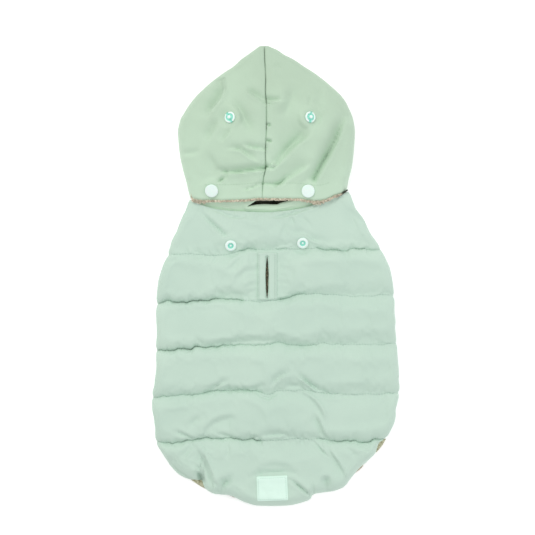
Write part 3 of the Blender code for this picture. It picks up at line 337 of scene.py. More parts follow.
HOOD_RADIUS = 9.0                       # of its side folds
HOOD_SIDE_CENTRE = 7.0
HOOD_TURN = (
    # y, width of the cloth turned under towards the face opening
    (216, 0.8), (208, 2.5), (195, 12), (175, 24), (145, 30), (120, 28), (105, 16), (96, 0.8),
)
HOOD_DROP_START, HOOD_DROP_END = 95.0, 86.0     # between which its sides stop turning under
HOOD_TIP = (214.0, 196.0)               # between which creases and ripples grow from the tip
HOOD_LOW = (92.0, 84.0)                 # between which the part above the hem begins
HOOD_TOP, HOOD_BOTTOM = 216.0, 72.0
HEM_BEND_REACH = 26.0                   # above the hem, the rows follow its bends
DOME_POWER = 2.1
HOOD_FOLDING = 1.6                      # how much deeper the creases are than in their table
HOOD_STITCHING = 14.6                   # height of its stitching above the hem
HOOD_STITCHING_ENDS = (40.0, 14.0)      # where its groove begins and is whole, from the middle
HOOD_MIDDLE = -4.0
SEAM_VALLEY = (1.6, 5.0)                # depth and width of the soft valley at the seam
SEAM_GROOVE = (1.7, 0.5)                # and of the sharp groove in it
VALLEY_STARTS = (74.0, 84.0)
VALLEY_ENDS = (217.5, 212.0)
TURN_CLEARANCE = 3.0
TIP_RADIUS = 0.48                       # the most that the folds may take of the tip's width
TIP_WALL = 0.45
TIP_CENTRE = 0.45
TIP_UNDER = 0.3
TIP_EXTRA = 0.2

COLLAR_LEFT, COLLAR_RIGHT = -75.5, 62.0
COLLAR_TOP = 8.4
COLLAR_FOLD = 6.0                       # width of its side folds
COLLAR_RISE = 4.2                       # how much higher it is at its rim
COLLAR_SEAM_GAP = -0.15
COLLAR_LEAST_HEIGHT = 3.4
COLLAR_RIM = (
    # x, y of the upper rim, drop of the rim
    (-75.5, 80.5, 0), (-50, 78, 0), (-36, 74.5, 0), (-31, 72, 0.4), (-28, 67, 1.2), (-25.5, 65.4, 1.8),
    (-22.5, 66, 2), (-17, 66.9, 2.2), (-10.6, 67.4, 2.4), (0.7, 67, 2.2), (5.4, 68.6, 1.2),
    (12.9, 70.7, 0.4), (23, 75, 0), (38, 79, 0), (62, 86, 0),
)
COLLAR_FLAP = (
    # the fold that laps over the left end of the gap: its upper and its lower side
    ((-36.0, 74.0), (-28.0, 74.0), (-22.0, 74.0), (-16.0, 73.6)),
    ((-34.0, 68.6), (-27.2, 64.6), (-23.0, 67.0), (-17.4, 70.8)),
)
COLLAR_FLAP_HEIGHT = 13.2
NECK_CORNER = (
    # painted shadow, a dark sliver for the shadowed gap at the right end of the neck: its upper and its
    # lower side
    ((57.5, 75.4), (62.0, 77.8), (67.4, 81.0)),
    ((58.0, 73.4), (62.0, 75.2), (68.0, 79.8)),
)
NECK_CORNER_HEIGHT = 12.6
COLLAR_CREASES = (
    # depth, widths, lips, strengths, path
    (0.6, 1, 0.8, 0.1, 0.2, 0, 0, ((262, 208.6), (274, 208.2), (286, 206.8))),
    (0.7, 1.2, 0.8, 0.1, 0.2, 0, 0, ((216, 203.5), (228, 206), (241, 207.5))),
    (0.6, 1.2, 0.8, 0.1, 0.2, 0, 0, ((272, 207.8), (286, 206), (300, 202))),
)
LINING_STRIP_ENDS = (-79.0, 57.0)
LINING_SHOWS = (
    # x, how far the strip reaches below the hem
    (-79, 2), (-76, 2.8), (-67, 2.5), (-63, 1.2), (-57, 0.9), (-20, 1), (20, 0.9), (30, 1.5), (38, 3.3),
    (46, 2.3), (57, 1.9), (62, 1),
)
HEM_LININGS = (
    # name,              shell side of the sliver,                free side of the sliver
    ("hem_lining_left",
     ((-80.6, -191.3), (-74.0, -191.8), (-69.2, -192.4), (-66.0, -199.4)),
     ((-79.6, -192.4), (-74.2, -196.4), (-70.0, -199.0), (-65.8, -201.2))),
    ("hem_lining_right",
     ((96.6, -153.0), (95.4, -160.4), (93.4, -166.0)),
     ((104.4, -154.2), (100.9, -160.4), (95.4, -166.8))),
)
HEM_PEEPS = (
    # where a little more of the lining shows, darkened as painted shade: the same two sides
    ("hem_peep_right",
     ((72.4, -184.4), (76.0, -179.2), (81.4, -177.4)),
     ((75.0, -186.4), (79.4, -183.2), (83.2, -179.2))),
    ("hem_peep_middle",
     ((-45.4, -205.6), (-42.0, -205.6), (-38.6, -207.4)),
     ((-45.2, -206.8), (-42.2, -207.8), (-38.4, -209.6))),
)
HEM_LINING_HEIGHT = 2.2

# Snaps: outline from the top of the axis round the edge to the bottom
SNAP_PROFILES = {
    "cap": ((0.0, 1.65), (1.5, 1.64), (3.0, 1.6), (4.2, 1.52), (4.6, 1.44), (4.9, 1.48),
            (5.3, 1.5), (5.7, 1.36), (6.0, 1.05), (6.15, 0.7), (6.1, 0.35), (5.7, 0.08),
            (5.2, 0.0), (0.0, 0.0)),
    "stud": ((0.0, 2.8), (0.9, 2.78), (1.35, 2.66), (1.6, 2.4), (1.62, 2.0), (1.4, 1.5),
             (1.45, 1.05), (1.9, 0.8), (2.7, 0.7), (3.3, 0.8), (3.6, 1.2), (3.9, 1.5),
             (4.3, 1.55), (4.8, 1.35), (5.15, 0.9), (5.2, 0.4), (4.9, 0.0), (0.0, 0.0)),
    "socket": ((0.0, 1.15), (0.6, 1.1), (1.0, 0.9), (1.15, 0.55), (1.4, 0.42), (2.2, 0.42),
               (2.55, 0.6), (2.7, 1.2), (2.95, 1.55), (3.4, 1.62), (4.3, 1.5), (5.0, 1.15),
               (5.35, 0.6), (5.2, 0.15), (4.8, 0.0), (0.0, 0.0)),
}
SNAPS = (
    # name,              kind,     place in the photo, height of the cloth there
    ("hood_cap_left", "cap", (211.5, 190.6), 18.0),
    ("hood_cap_right", "cap", (308.2, 190.9), 19.5),
    ("hood_stud_left", "stud", (230.0, 117.0), 32.0),
    ("hood_stud_right", "stud", (310.1, 116.6), 32.0),
    ("yoke_socket_left", "socket", (230.6, 245.4), 13.5),
    ("yoke_socket_right", "socket", (302.7, 242.9), 13.5),
)
# radii between which a snap's faces take the painted-shade plastic
SNAP_RECESSES = {"cap": (0.0, 0.0), "stud": (1.5, 3.7), "socket": (1.05, 2.75)}
SNAP_TILTS = {
    # name: more slope across and along than the seat has in the solids
    "hood_cap_left": (0.0, 0.2),
    "hood_cap_right": (0.12, 0.1),
    "hood_stud_left": (0.3, 0.0),
    "hood_stud_right": (-0.3, 0.0),
}
STUD_SLOTS = {
    # name: directions of the two notches in the flange, in degrees
    "hood_stud_left": (122.0, 292.0),
    "hood_stud_right": (78.0, 262.0),
}
SLOT_HALF_ANGLE = 14.0
SLOT_DEPTH = 1.2
SLOT_RADII = (2.0, 5.0)
SNAP_SIDES = 72
SEAT_MARGIN = 1.2                       # flat cloth round a snap
SEAT_BLEND = 6.0                        # and the width over which it goes over into the rest

# A stitch and a curl of pile
STITCH_PLACES = (0.0, 0.15, 0.5, 0.85, 1.0)
STITCH_RISES = (-0.45, 0.6, 1.0, 0.6, -0.45)    # in radii of the thread
STITCH_SWELLS = (0.35, 0.9, 1.0, 0.9, 0.35)
STITCH_MARGIN = 0.4                     # before a seam's first stitch
QUILTING_THREAD = (2.6, 1.9, 0.22, 0.1)         # pitch, length, radius and lift of its stitches
HOOD_THREAD = (2.6, 1.9, 0.14, 0.02)
HOOD_THREAD_ENDS = (-66, 52)
TUBE_SIDES = 5
CURL_RINGS = 7
HEM_CURL_STEP, HEM_CURL_END = 0.42, 62.0
SLIT_CURL_STEP = 0.6

LABEL_LEFT, LABEL_RIGHT = -17.2, 11.4
LABEL_LOW, LABEL_HIGH = -209.8, -186.8
LABEL_TURN = math.radians(2.2)
LABEL_MIDDLE = (LABEL_LEFT + LABEL_RIGHT) / 2, (LABEL_LOW + LABEL_HIGH) / 2
LABEL_BORDER = 1.5

# Materials and light; lengths in metres
WOVEN = (
    # name, two colours between which its tone changes at random, colour of painted shade, thread, sheen,
    # span along Y over which painted shade draws it to its second colour
    ("body_shell_cloth", (0.575, 0.735, 0.635), (0.545, 0.705, 0.61), (0.24, 0.36, 0.285),
     0.00042, 0.25),
    # the hood's span paints shade that darkens it from 85 mm to 200 mm up the jacket
    ("hood_shell_cloth", (0.565, 0.74, 0.585), (0.465, 0.605, 0.475), (0.14, 0.22, 0.14),
     0.00042, 0.25, (0.085, 0.2)),
    # a lighter copy of the hood's cloth: painted light where the hood's hem shades the collar
    ("collar_cloth_painted_light", (0.65, 0.83, 0.66), (0.62, 0.8, 0.63), (0.14, 0.22, 0.14), 0.00042, 0.25),
    ("label_cloth", (0.77, 0.99, 0.88), (0.74, 0.96, 0.85), (0.5, 0.7, 0.6), 0.0003, 0.1),
    ("label_thread", (0.58, 0.78, 0.68), (0.55, 0.75, 0.65), (0.4, 0.55, 0.48), 0.00012, 0.25),
    ("welt_thread", (0.38, 0.52, 0.44), (0.34, 0.48, 0.4), (0.24, 0.36, 0.285), 0.00012, 0.25),
    ("body_thread", (0.5, 0.66, 0.57), (0.45, 0.6, 0.52), (0.3, 0.4, 0.34), 0.00012, 0.25),
    ("hood_thread", (0.46, 0.62, 0.47), (0.42, 0.57, 0.43), (0.3, 0.4, 0.3), 0.00012, 0.25),
)
PILES = (
    # name, colours of its tips, between them and in its hollows (painted shade)
    ("sherpa_pile", (1.0, 0.92, 0.75), (0.94, 0.83, 0.66), (0.5, 0.44, 0.32)),
    ("olive_pile", (0.72, 0.74, 0.52), (0.6, 0.58, 0.38), (0.36, 0.34, 0.2)),
    # painted shadow: near-black pile for the shadowed inside of the neck and its right corner
    ("painted_shadow_pile", (0.05, 0.07, 0.035), (0.03, 0.04, 0.02), (0.012, 0.016, 0.008)),
    # a darker copy of the sherpa: painted shade for the pile seen in the leash slit and under the hem
    ("slit_pile_painted_shade", (0.86, 0.68, 0.46), (0.55, 0.44, 0.29), (0.18, 0.16, 0.09)),
)
PLASTICS = (
    ("snap_plastic", (0.86, 1.0, 0.96), (0.82, 0.99, 0.93)),
    # a darker teal copy of the snap plastic: painted shade in the snaps' recesses and notches
    ("recess_plastic_painted_shade", (0.3, 0.78, 0.64), (0.36, 0.84, 0.7)),
)
LIGHTS = (
    # name, watts, width, tint, place
    ("key", 9.5, 1.0, (1.0, 1.0, 0.93), (-0.6, 1.0, 1.25)),
    ("fill", 5.0, 1.4, (0.99, 0.98, 1.0), (1.0, -0.2, 1.2)),
)
WORLD_LIGHT = 0.66
FLOOR_Z, FLOOR_REACH = -0.0004, 3.0
FLOOR_GLOW = 0.3

# How finely the pieces are divided
TOP_COLUMNS = 106                       # from the slit to a side fold
ARC_STEPS = 12
TURN_STEPS = 8
CHANNEL_ROWS = 36
YOKE_ROWS = 40
TAIL_ROWS = 40
HEM_ROWS = 12
INSIDE_STRIDE = 4
HOOD_ROWS_COUNT = 124
HOOD_COLUMNS = 72
SIM_STRIDE = 2


# ---- curves and noise

def photo(px, py):
    """Millimetres of a point of the photograph."""
    return (px - PHOTO_CENTRE[0]) * PIXEL, (PHOTO_CENTRE[1] - py) * PIXEL


def photo_at(px, py, height):
    """Millimetres of a point of the photograph where the cloth lies at a height."""
    middle = np.array(photo(FRAME_PIXELS / 2, FRAME_PIXELS / 2))
    nearer = 1 - (height - SHARP_HEIGHT) / CAMERA_DISTANCE
    return tuple(middle + (np.array(photo(px, py)) - middle) * nearer)


def lerp(start, end, share):
    return start + (end - start) * share


def clamp(value, low=0.0, high=1.0):
    return np.minimum(high, np.maximum(low, value))


def smooth_step(value, start, end):
    share = clamp((value - start) / (end - start))
    return share * share * (3 - 2 * share)


def bell(value, width, power=2):
    """1 where the value is 0, falling away over a width."""
    return np.exp(-(value / width) ** power)


def smooth_curve(points):
    """A smooth function through (place, value) points, flat beyond its ends."""
    places, values = np.array(sorted(points), float).T
    steps = np.diff(values) / np.diff(places)
    before, after = steps[:-1], steps[1:]
    same_way = before * after > 0
    total = np.where(same_way, before + after, 1.0)
    inner = np.where(same_way, 2 * before * after / total, 0.0)
    slopes = np.concatenate(([steps[0]], inner, [steps[-1]]))

    def value_at(place):
        place = clamp(place, places[0], places[-1])
        i = np.clip(np.searchsorted(places, place, side="right") - 1, 0, len(steps) - 1)
        span = places[i + 1] - places[i]
        t = (place - places[i]) / span
        return (values[i] * (1 + 2 * t) * (1 - t) ** 2 + values[i + 1] * t * t * (3 - 2 * t)
                + slopes[i] * span * t * (1 - t) ** 2 + slopes[i + 1] * span * t * t * (t - 1))

    return value_at


def column_curves(table):
    """The curves of a table's other columns over its first one."""
    places, *columns = zip(*table)
    return [smooth_curve(zip(places, column)) for column in columns]


def noise(seed, x, y=0.0):
    """Smooth noise from -1 to 1 that changes over a distance of 1."""
    table = np.random.default_rng(seed).uniform(-1, 1, (64, 64))
    x, y = np.broadcast_arrays(np.asarray(x, float), np.asarray(y, float))
    i, j = np.floor(x).astype(int), np.floor(y).astype(int)
    u, v = smooth_step(x - i, 0, 1), smooth_step(y - j, 0, 1)
    i, j = i % 64, j % 64
    i2, j2 = (i + 1) % 64, (j + 1) % 64
    return lerp(lerp(table[i, j], table[i2, j], u), lerp(table[i, j2], table[i2, j2], u), v)


def quilt_line(index):
    """A quilting line as its stitches draw it in, up and down by turns."""
    straight = smooth_curve([photo(*point) for point in QUILT_LINES[index][1]])
    if index == 0:
        return straight
    (short, short_seed, short_length), (long, long_seed, long_length) = LINE_WAVES
    return lambda x: (straight(x) + short * noise(short_seed + index, x / short_length)
                      + long * noise(long_seed + index, x / long_length))


body_left, body_right = column_curves(BODY_OUTLINE)
tail_hem, = column_curves(TAIL_HEM)
hood_left_edge, hood_right_edge, hood_seam = column_curves(HOOD_OUTLINE)
hood_hem, = column_curves(HOOD_HEM)
hood_ridge, hood_side = column_curves(HOOD_HEIGHTS)
hood_turn, = column_curves(HOOD_TURN)
collar_rim, collar_sag = column_curves(COLLAR_RIM)
collar_front_rim, _ = column_curves((COLLAR_RIM[0], COLLAR_RIM[-1]))
lining_shows, = column_curves(LINING_SHOWS)
quilt_lines = [quilt_line(index) for index in range(len(QUILT_LINES))]
line_sharpness = [smooth_curve([(photo(px, 0)[0], sharp) for px, sharp in table])
                  for table in LINE_SHARPNESS]


def placed_creases(table, height):
    """A table of creases with its paths in millimetres, on cloth of the given height."""
    return [(*row[:-1], np.array([photo_at(px, py, float(height(*photo(px, py))))
                                  for px, py in row[-1]])) for row in table]


def crease_depth(creases, x, y):
    """How far the creases press the cloth down at each point."""
    x, y = np.broadcast_arrays(np.asarray(x, float), np.asarray(y, float))
    total = np.zeros(x.shape)
    for deepest, left_width, right_width, left_lip, right_lip, start, end, points in creases:
        lengths = np.hypot(*np.diff(points, axis=0).T)
        reached = np.concatenate(([0.0], np.cumsum(lengths))) / lengths.sum()
        nearest, along, side = np.full(x.shape, np.inf), np.zeros(x.shape), np.zeros(x.shape)
        for i, ((left, low), (dx, dy)) in enumerate(zip(points, np.diff(points, axis=0))):
            share = clamp(((x - left) * dx + (y - low) * dy) / lengths[i] ** 2)
            distance = np.hypot(x - left - share * dx, y - low - share * dy)
            closer = distance < nearest
            nearest = np.where(closer, distance, nearest)
            along = np.where(closer, lerp(reached[i], reached[i + 1], share), along)
            side = np.where(closer, dx * (y - low) - dy * (x - left), side)
        strength = (lerp(start, 1.0, smooth_step(along, 0.0, CREASE_ENDS))
                    * lerp(end, 1.0, smooth_step(1 - along, 0.0, CREASE_ENDS)))
        lip = np.where(side > 0, left_lip, right_lip)
        width = np.where(side > 0, left_width, right_width)
        total += strength * (deepest * bell(nearest, width, CREASE_POWER)
                             - lip * bell(nearest - CREASE_LIP * width, width))
    return total


# ---- meshes

def linked(name, data):
    """A new object in the scene."""
    made = bpy.data.objects.new(name, data)
    bpy.context.scene.collection.objects.link(made)
    return made


def new_piece(name, points, faces, materials, face_materials=None, sharp=55.0, shade=None):
    """A closed piece from points in millimetres; where its painted shade is over 0 it is darker."""
    mesh = bpy.data.meshes.new(name)
    mesh.from_pydata((np.asarray(points, float) * MM).tolist(), [], faces)
    for material in materials:
        mesh.materials.append(material)
    if face_materials is not None:
        mesh.polygons.foreach_set("material_index", np.asarray(face_materials, np.int32))
    if shade is not None:
        values = np.zeros(len(points), np.float32)
        values[:shade.size] = clamp(shade).ravel()
        mesh.attributes.new("shade", "FLOAT", "POINT").data.foreach_set("value", values)
    bm = bmesh.new()
    bm.from_mesh(mesh)
    bmesh.ops.delete(bm, geom=[v for v in bm.verts if not v.link_faces], context="VERTS")
    bmesh.ops.recalc_face_normals(bm, faces=bm.faces)
    bm.to_mesh(mesh)
    bm.free()
    mesh.shade_smooth()
    mesh.set_sharp_from_angle(angle=math.radians(sharp))
    return linked(name, mesh)


def add_wall(name, outer, inner, materials, stride=1, hole=(0, 0, 0, 0), shade=None):
    """A wall between two grids of points, fine outside and coarser inside, closed at its rims.

    The hole lies between two of the rows and two of the columns.
    """
    rows, columns = outer.shape[:2]
    kept_rows = sorted({*range(0, rows, stride), rows - 1, *hole[:2]})
    kept_columns = sorted({*range(0, columns, stride), columns - 1, *hole[2:]})

    def in_hole(i, j):
        return hole[0] <= i < hole[1] and hole[2] <= j < hole[3]

    def is_cloth(a, b):
        return (0 <= a < len(kept_rows) - 1 and 0 <= b < len(kept_columns) - 1
                and not in_hole(kept_rows[a], kept_columns[b]))

    def on_inside(a, b):
        return rows * columns + a * len(kept_columns) + b

    found = [((k, k + 1, k + columns + 1, k + columns), 0) for i in range(rows - 1)
             for j in range(columns - 1) if not in_hole(i, j) for k in [i * columns + j]]
    for a, b in np.ndindex(len(kept_rows) - 1, len(kept_columns) - 1):
        if not is_cloth(a, b):
            continue
        found.append(([on_inside(a, b), on_inside(a + 1, b), on_inside(a + 1, b + 1),
                       on_inside(a, b + 1)], 1))
        for d in (0, 1):
            if not is_cloth(a + 2 * d - 1, b):
                line = [kept_rows[a + d] * columns + j
                        for j in range(kept_columns[b], kept_columns[b + 1] + 1)]
                found.append((line + [on_inside(a + d, b + 1), on_inside(a + d, b)], 0))
        for d in (0, 1):
            if not is_cloth(a, b + 2 * d - 1):
                line = [i * columns + kept_columns[b + d]
                        for i in range(kept_rows[a], kept_rows[a + 1] + 1)]
                found.append((line + [on_inside(a + 1, b + d), on_inside(a, b + d)], 0))
    faces, inside = zip(*found)
    inner_points = inner[np.ix_(kept_rows, kept_columns)].reshape(-1, 3)
    return new_piece(name, np.concatenate((outer.reshape(-1, 3), inner_points)), faces,
                     materials, inside, shade=shade)


def folded_row(x, y, z, inside, side, edge, row_y, radius, wall, centres, under, flat, turn):
    """Outer and inner points of a row whose side is folded over and turned under."""
    end_angle = -math.pi / 2 * flat
    angles = lerp(math.pi / 2, end_angle, np.arange(1, ARC_STEPS + 1) / ARC_STEPS)
    on = turn * np.arange(1, TURN_STEPS + 1) / TURN_STEPS
    layers = []
    for top, reach, centre, lowest in ((z, radius, centres[0], 0.0),
                                       (inside, radius - wall, centres[1], under)):
        rise = np.where(angles > 0, top[-1] - centre, centre - lowest)
        fold_x = edge - side * (radius - reach * np.cos(angles))
        fold_z = centre + rise * np.sin(angles)
        fold_x = np.concatenate((fold_x, fold_x[-1] + side * on * math.sin(end_angle)))
        fold_z = np.concatenate((fold_z, fold_z[-1] - on * math.cos(end_angle)))
        if not layers:
            y = np.concatenate((y, row_y(fold_x)))
        layers.append(np.column_stack((np.concatenate((x, fold_x)), y,
                                       np.concatenate((top, fold_z)))))
    return layers


def seated(z, x, y, seats):
    """Heights with the flat seats of the snaps pressed into them."""
    for seat_x, seat_y, seat_z, slope_x, slope_y, radius in seats.values():
        distance = np.hypot(x - seat_x, y - seat_y)
        flat = seat_z + slope_x * (x - seat_x) + slope_y * (y - seat_y)
        z = lerp(flat, z, smooth_step(distance, radius + SEAT_MARGIN,
                                      radius + SEAT_MARGIN + SEAT_BLEND))
    return z


def snap_seats(kinds, height):
    """{name: (x, y, z, slope in x, slope in y, radius)} of the flat cloth under the snaps."""
    seats = {}
    for name, kind, seen, cloth in SNAPS:
        if kind in kinds:
            x, y = photo_at(*seen, cloth)
            radius = max(place[0] for place in SNAP_PROFILES[kind])
            reach = radius + 1
            more_x, more_y = SNAP_TILTS.get(name, (0.0, 0.0))
            slope_x = (height(x + reach, y) - height(x - reach, y)) / (2 * reach)
            slope_y = (height(x, y + reach) - height(x, y - reach)) / (2 * reach)
            seats[name] = (x, y, float(height(x, y)), float(slope_x) + more_x,
                           float(slope_y) + more_y, radius)
    return seats


# ---- the quilted back

def leg_hole_share(y):
    return math.sqrt(max(0.0, 1 - ((y - LEG_HOLE_Y) / (LEG_HOLE_LENGTH / 2)) ** 2))


def body_turn(y):
    """How much cloth is turned under beneath the body."""
    turn = TURN_UNDER * smooth_step(y, *TURN_GROWS)
    turn *= 1 - NECK_TURN_LOSS * smooth_step(y, *TURN_SHRINKS)
    return max(SMALLEST_TURN, turn - LEG_HOLE_IN_BACK * leg_hole_share(y))


def hem_stretch(x):
    """How much further a distance square to the hem reaches up the jacket."""
    return np.hypot(1, (tail_hem(x + 2) - tail_hem(x - 2)) / 4)


def hem_line(x, distance=HEM_ROLL):
    """A line inside the tail's hem, by default where it begins to roll down."""
    return tail_hem(x) + distance * hem_stretch(x)


def hem_distance(x, y):
    return (y - tail_hem(x)) / hem_stretch(x)


def channel_shares(count):
    """Shares of the way down a channel, closer together beside its stitching."""
    t = np.arange(count) / count
    return t - ROW_CROWDING * np.sin(2 * math.pi * t) / (2 * math.pi)


def body_row_table():
    """(zone, share, distance from the hem or None) of every row."""
    t = np.arange(TAIL_ROWS) / TAIL_ROWS
    shares = [channel_shares(YOKE_ROWS), *[channel_shares(CHANNEL_ROWS)] * (LAST_ZONE - 1),
              0.45 * t + 0.55 * t * t]
    rows = [(zone, share, None) for zone, below in enumerate(shares) for share in below]
    band = HEM_ROLL * (1 - np.arange(HEM_ROWS + 1) / HEM_ROWS) ** HEM_CROWDING
    return rows + [(LAST_ZONE, 1.0, distance) for distance in band]


def body_row_y(row, x):
    """A row's height up the jacket at x."""
    zone, share, distance = row
    if distance is not None:
        return hem_line(x, distance)
    below = hem_line(x) if zone == LAST_ZONE else quilt_lines[zone + 1](x)
    return lerp(quilt_lines[zone](x), below, share)


def line_distances(zone, x, y):
    """Distances to the quilting lines above and below a point, in millimetres."""
    below = (np.full(np.shape(x), 99.0) if zone == LAST_ZONE else y - quilt_lines[zone + 1](x))
    return quilt_lines[zone](x) - y, below


def edge_of_row(row, side):
    """Where a row meets the outline, with a nick at each quilting line."""
    outline = body_left if side < 0 else body_right
    x = outline(0.0)
    for _ in range(4):
        y = body_row_y(row, x)
        x = outline(y)
    bulge = 0.35 * noise(21 + side, y / 7.0)
    nick = NICK_DEPTH * bell(min(line_distances(row[0], x, y)), NICK_WIDTH)
    return float(x - side * (nick - bulge))


def slit_half_width(y):
    along = clamp((y - SLIT_LOW) / (SLIT_HIGH - SLIT_LOW))
    uneven = 1 + 0.16 * noise(31, y / 4.0)
    return lerp(SLIT_END_WIDTH, SLIT_WIDTH * uneven, np.sin(math.pi * along) ** 0.8) / 2


def puckers(zone, x, y):
    """Gathers that run out from each quilting line, in millimetres of height."""
    total = np.zeros(np.shape(x))
    for line, distance, strength in zip((zone, zone + 1), line_distances(zone, x, y),
                                        PUCKER_STRENGTHS):
        distance = np.maximum(distance, 0.0)
        lean = distance * 0.35 * noise(40 + line, x / 31.0)
        gathered = smooth_step(noise(50 + line, x / 37.0), -0.75, 0.45)
        short = noise(60 + 2 * line, (x + lean) / 3.6, distance / 14.0)
        long = noise(80 + 2 * line, (x + lean) / 9.0, distance / 30.0)
        near, far = [distance / reach * np.exp(1 - distance / reach) for reach in PUCKER_REACHES]
        total += strength * gathered * (short * near + 0.5 * long * far)
    return total


def swell_power(zone, share, x):
    """Under 1 a channel rises steeply from its stitching, the more so where it is sharp."""
    sharp = lerp(line_sharpness[zone](x), line_sharpness[min(zone + 1, LAST_ZONE)](x), share)
    return SHARP_POWER + SOFTER_POWER * (1 - clamp(sharp)) ** 2.5


def line_rise(zone, share, x):
    """How far the stitches of a soft quilting line stay up, between two lines."""
    rises = [SOFT_LINE_RISE * smooth_step(line_sharpness[index](x), *SOFT_SHARPNESS)
             if index <= LAST_ZONE else 0.0 for index in (zone, zone + 1)]
    return lerp(*rises, clamp(share))


def back_inside(x, y, zone):
    if zone < LAST_ZONE:
        return np.full(np.shape(x), BACK_INSIDE)
    rise = clamp((hem_distance(x, y) - HEM_LIP) / HEM_INSIDE_RISE)
    return lerp(EDGE_LOW, BACK_INSIDE, np.sqrt(1 - (1 - rise) ** 2))


def base_height(zone, share, x, y, centre, half):
    """Height of the back's outer cloth, without puckers and seats."""
    if zone == LAST_ZONE:
        above = quilt_lines[zone](x) - y
        share = clamp(above / (above + y - tail_hem(x) + 1e-6))
        swell = np.sin(math.pi / 2 * clamp(share / TAIL_SWELL))
    else:
        swell = max(0.0, 1 - abs(2 * clamp(share) - 1) ** CROWN_POWER)
    swell = swell ** swell_power(zone, share, x)
    across = clamp(np.abs(x - centre) / half)
    rise = line_rise(zone, share, x)
    loft = rise + (QUILT_LINES[zone][0] * (1 - SIDE_DROP * across ** 3) - rise) * swell
    height = BACK_INSIDE + STITCHED_CLOTH + loft
    if zone == SLIT_ZONE:
        blend = np.where(x < SLIT_X, *PLACKET_BLENDS)
        beside = smooth_step(np.abs(x - SLIT_X), PLACKET_HALF_WIDTH, PLACKET_HALF_WIDTH + blend)
        edge = smooth_step(min(share, 1 - share), 0.0, PLACKET_ENDS)
        height = lerp(lerp(height, PLACKET_HEIGHT, edge), height, beside)
    folded = clamp(loft / FULL_CREASE_LOFT)
    if zone == LAST_ZONE:
        roll = clamp(hem_distance(x, y) / HEM_ROLL)
        height = lerp(HEM_EDGE_TOP, height, np.sqrt(1 - (1 - roll) ** 2))
        folded = folded * lerp(HEM_FOLDING, 1.0, roll)
    height = height - BODY_FOLDING * crease_depth(body_creases, x, y) * folded
    return np.maximum(height, back_inside(x, y, zone) + LEAST_WALL)


def solid_yoke_height(x, y):
    """Height of the yoke as the solids have it, to seat its snaps where they are."""
    neck, line = quilt_lines[0](x), quilt_lines[1](x)
    share = clamp((neck - y) / (neck - line), 0.02, 0.98)
    return (BACK_INSIDE + STITCHED_CLOTH
            + QUILT_LINES[0][0] * np.sin(math.pi * share) ** SWELL_POWER)


def back_half(row, side):
    """Outer and inner points of one half of a row, from the slit outwards."""
    zone, share, _ = row
    edge = edge_of_row(row, side)
    y_edge = float(body_row_y(row, edge))
    flat = float(smooth_step(y_edge, *FOLD_ROUNDS))
    centre_x = float(body_left(y_edge) + body_right(y_edge)) / 2
    lip = SLIT_X + side * float(slit_half_width(float(body_row_y(row, SLIT_X))))
    x = lerp(lip, edge - side * SIDE_RADIUS, np.arange(TOP_COLUMNS + 1) / TOP_COLUMNS)
    y = body_row_y(row, x)
    z = base_height(zone, share, x, y, centre_x, float(body_right(y_edge)) - centre_x)
    placket = smooth_step(np.abs(x - SLIT_X), PLACKET_HALF_WIDTH - 1, PLACKET_HALF_WIDTH + 5)
    calm = {SLIT_ZONE - 1: 0.5, SLIT_ZONE: 0.0, SLIT_ZONE + 1: 0.5}.get(zone, 1.0)
    z = seated(z + puckers(zone, x, y) * lerp(calm, 1.0, placket), x, y, yoke_seats)
    centres = [lerp(EDGE_LOW + SMALLEST_TURN, full, flat)
               for full in (FOLD_CENTRE, BELLY_CLOTH + PANEL_GAP / 2)]
    return folded_row(x, y, z, back_inside(x, y, zone), side, edge,
                      lambda places: body_row_y(row, places), SIDE_RADIUS, SIDE_WALL, centres,
                      BELLY_CLOTH, flat, body_turn(y_edge))


def inflate(grid, held):
    """How far cloth simulation under pressure moves a grid's points; the held ones stay."""
    rows, columns = grid.shape[:2]
    mesh = bpy.data.meshes.new("inflating")
    faces = [(k, k + 1, k + columns + 1, k + columns) for i in range(rows - 1)
             for k in range(i * columns, (i + 1) * columns - 1)]
    mesh.from_pydata((grid.reshape(-1, 3) * MM).tolist(), [], faces)
    if mesh.polygons[len(faces) // 2].normal.z < 0:
        mesh.flip_normals()
    piece = linked("inflating", mesh)
    pins = piece.vertex_groups.new(name="held")
    pins.add(np.flatnonzero(held.ravel()).tolist(), 1.0, "REPLACE")
    cloth = piece.modifiers.new("inflating", "CLOTH")
    for key, value in CLOTH_SETTINGS.items():
        setattr(cloth.settings, key, value)
    cloth.settings.effector_weights.gravity = 0.0
    cloth.collision_settings.use_collision = False
    cloth.collision_settings.use_self_collision = False
    scene = bpy.context.scene
    for number in range(CLOTH_FRAMES):
        scene.frame_set(number + 1)
    moved = piece.evaluated_get(bpy.context.evaluated_depsgraph_get()).to_mesh()
    points = np.zeros(len(moved.vertices) * 3)
    moved.vertices.foreach_get("co", points)
    bpy.data.objects.remove(piece, do_unlink=True)
    scene.frame_set(1)
    shift = points.reshape(grid.shape) / MM - grid
    length = np.linalg.norm(shift, axis=2, keepdims=True)
    kept_length = MOST_SWELLING * np.tanh(length / MOST_SWELLING)
    return shift * (kept_length / np.maximum(length, 1e-9))


def refine(values, stride, rows, columns):
    """Values on every stride-th point of a grid, spread smoothly over all its points."""
    def along(array, count):
        places = np.arange(count) / stride
        i = np.clip(np.floor(places).astype(int), 0, len(array) - 2)
        t = (places - i)[:, None, None]
        before, here = array[np.maximum(i - 1, 0)], array[i]
        there, after = array[i + 1], array[np.minimum(i + 2, len(array) - 1)]
        return (here + 0.5 * t * (there - before)
                + t * t * (before - 2.5 * here + 2 * there - 0.5 * after)
                + t * t * t * (1.5 * (here - there) + 0.5 * (after - before)))
    return along(along(values, rows).transpose(1, 0, 2), columns).transpose(1, 0, 2)


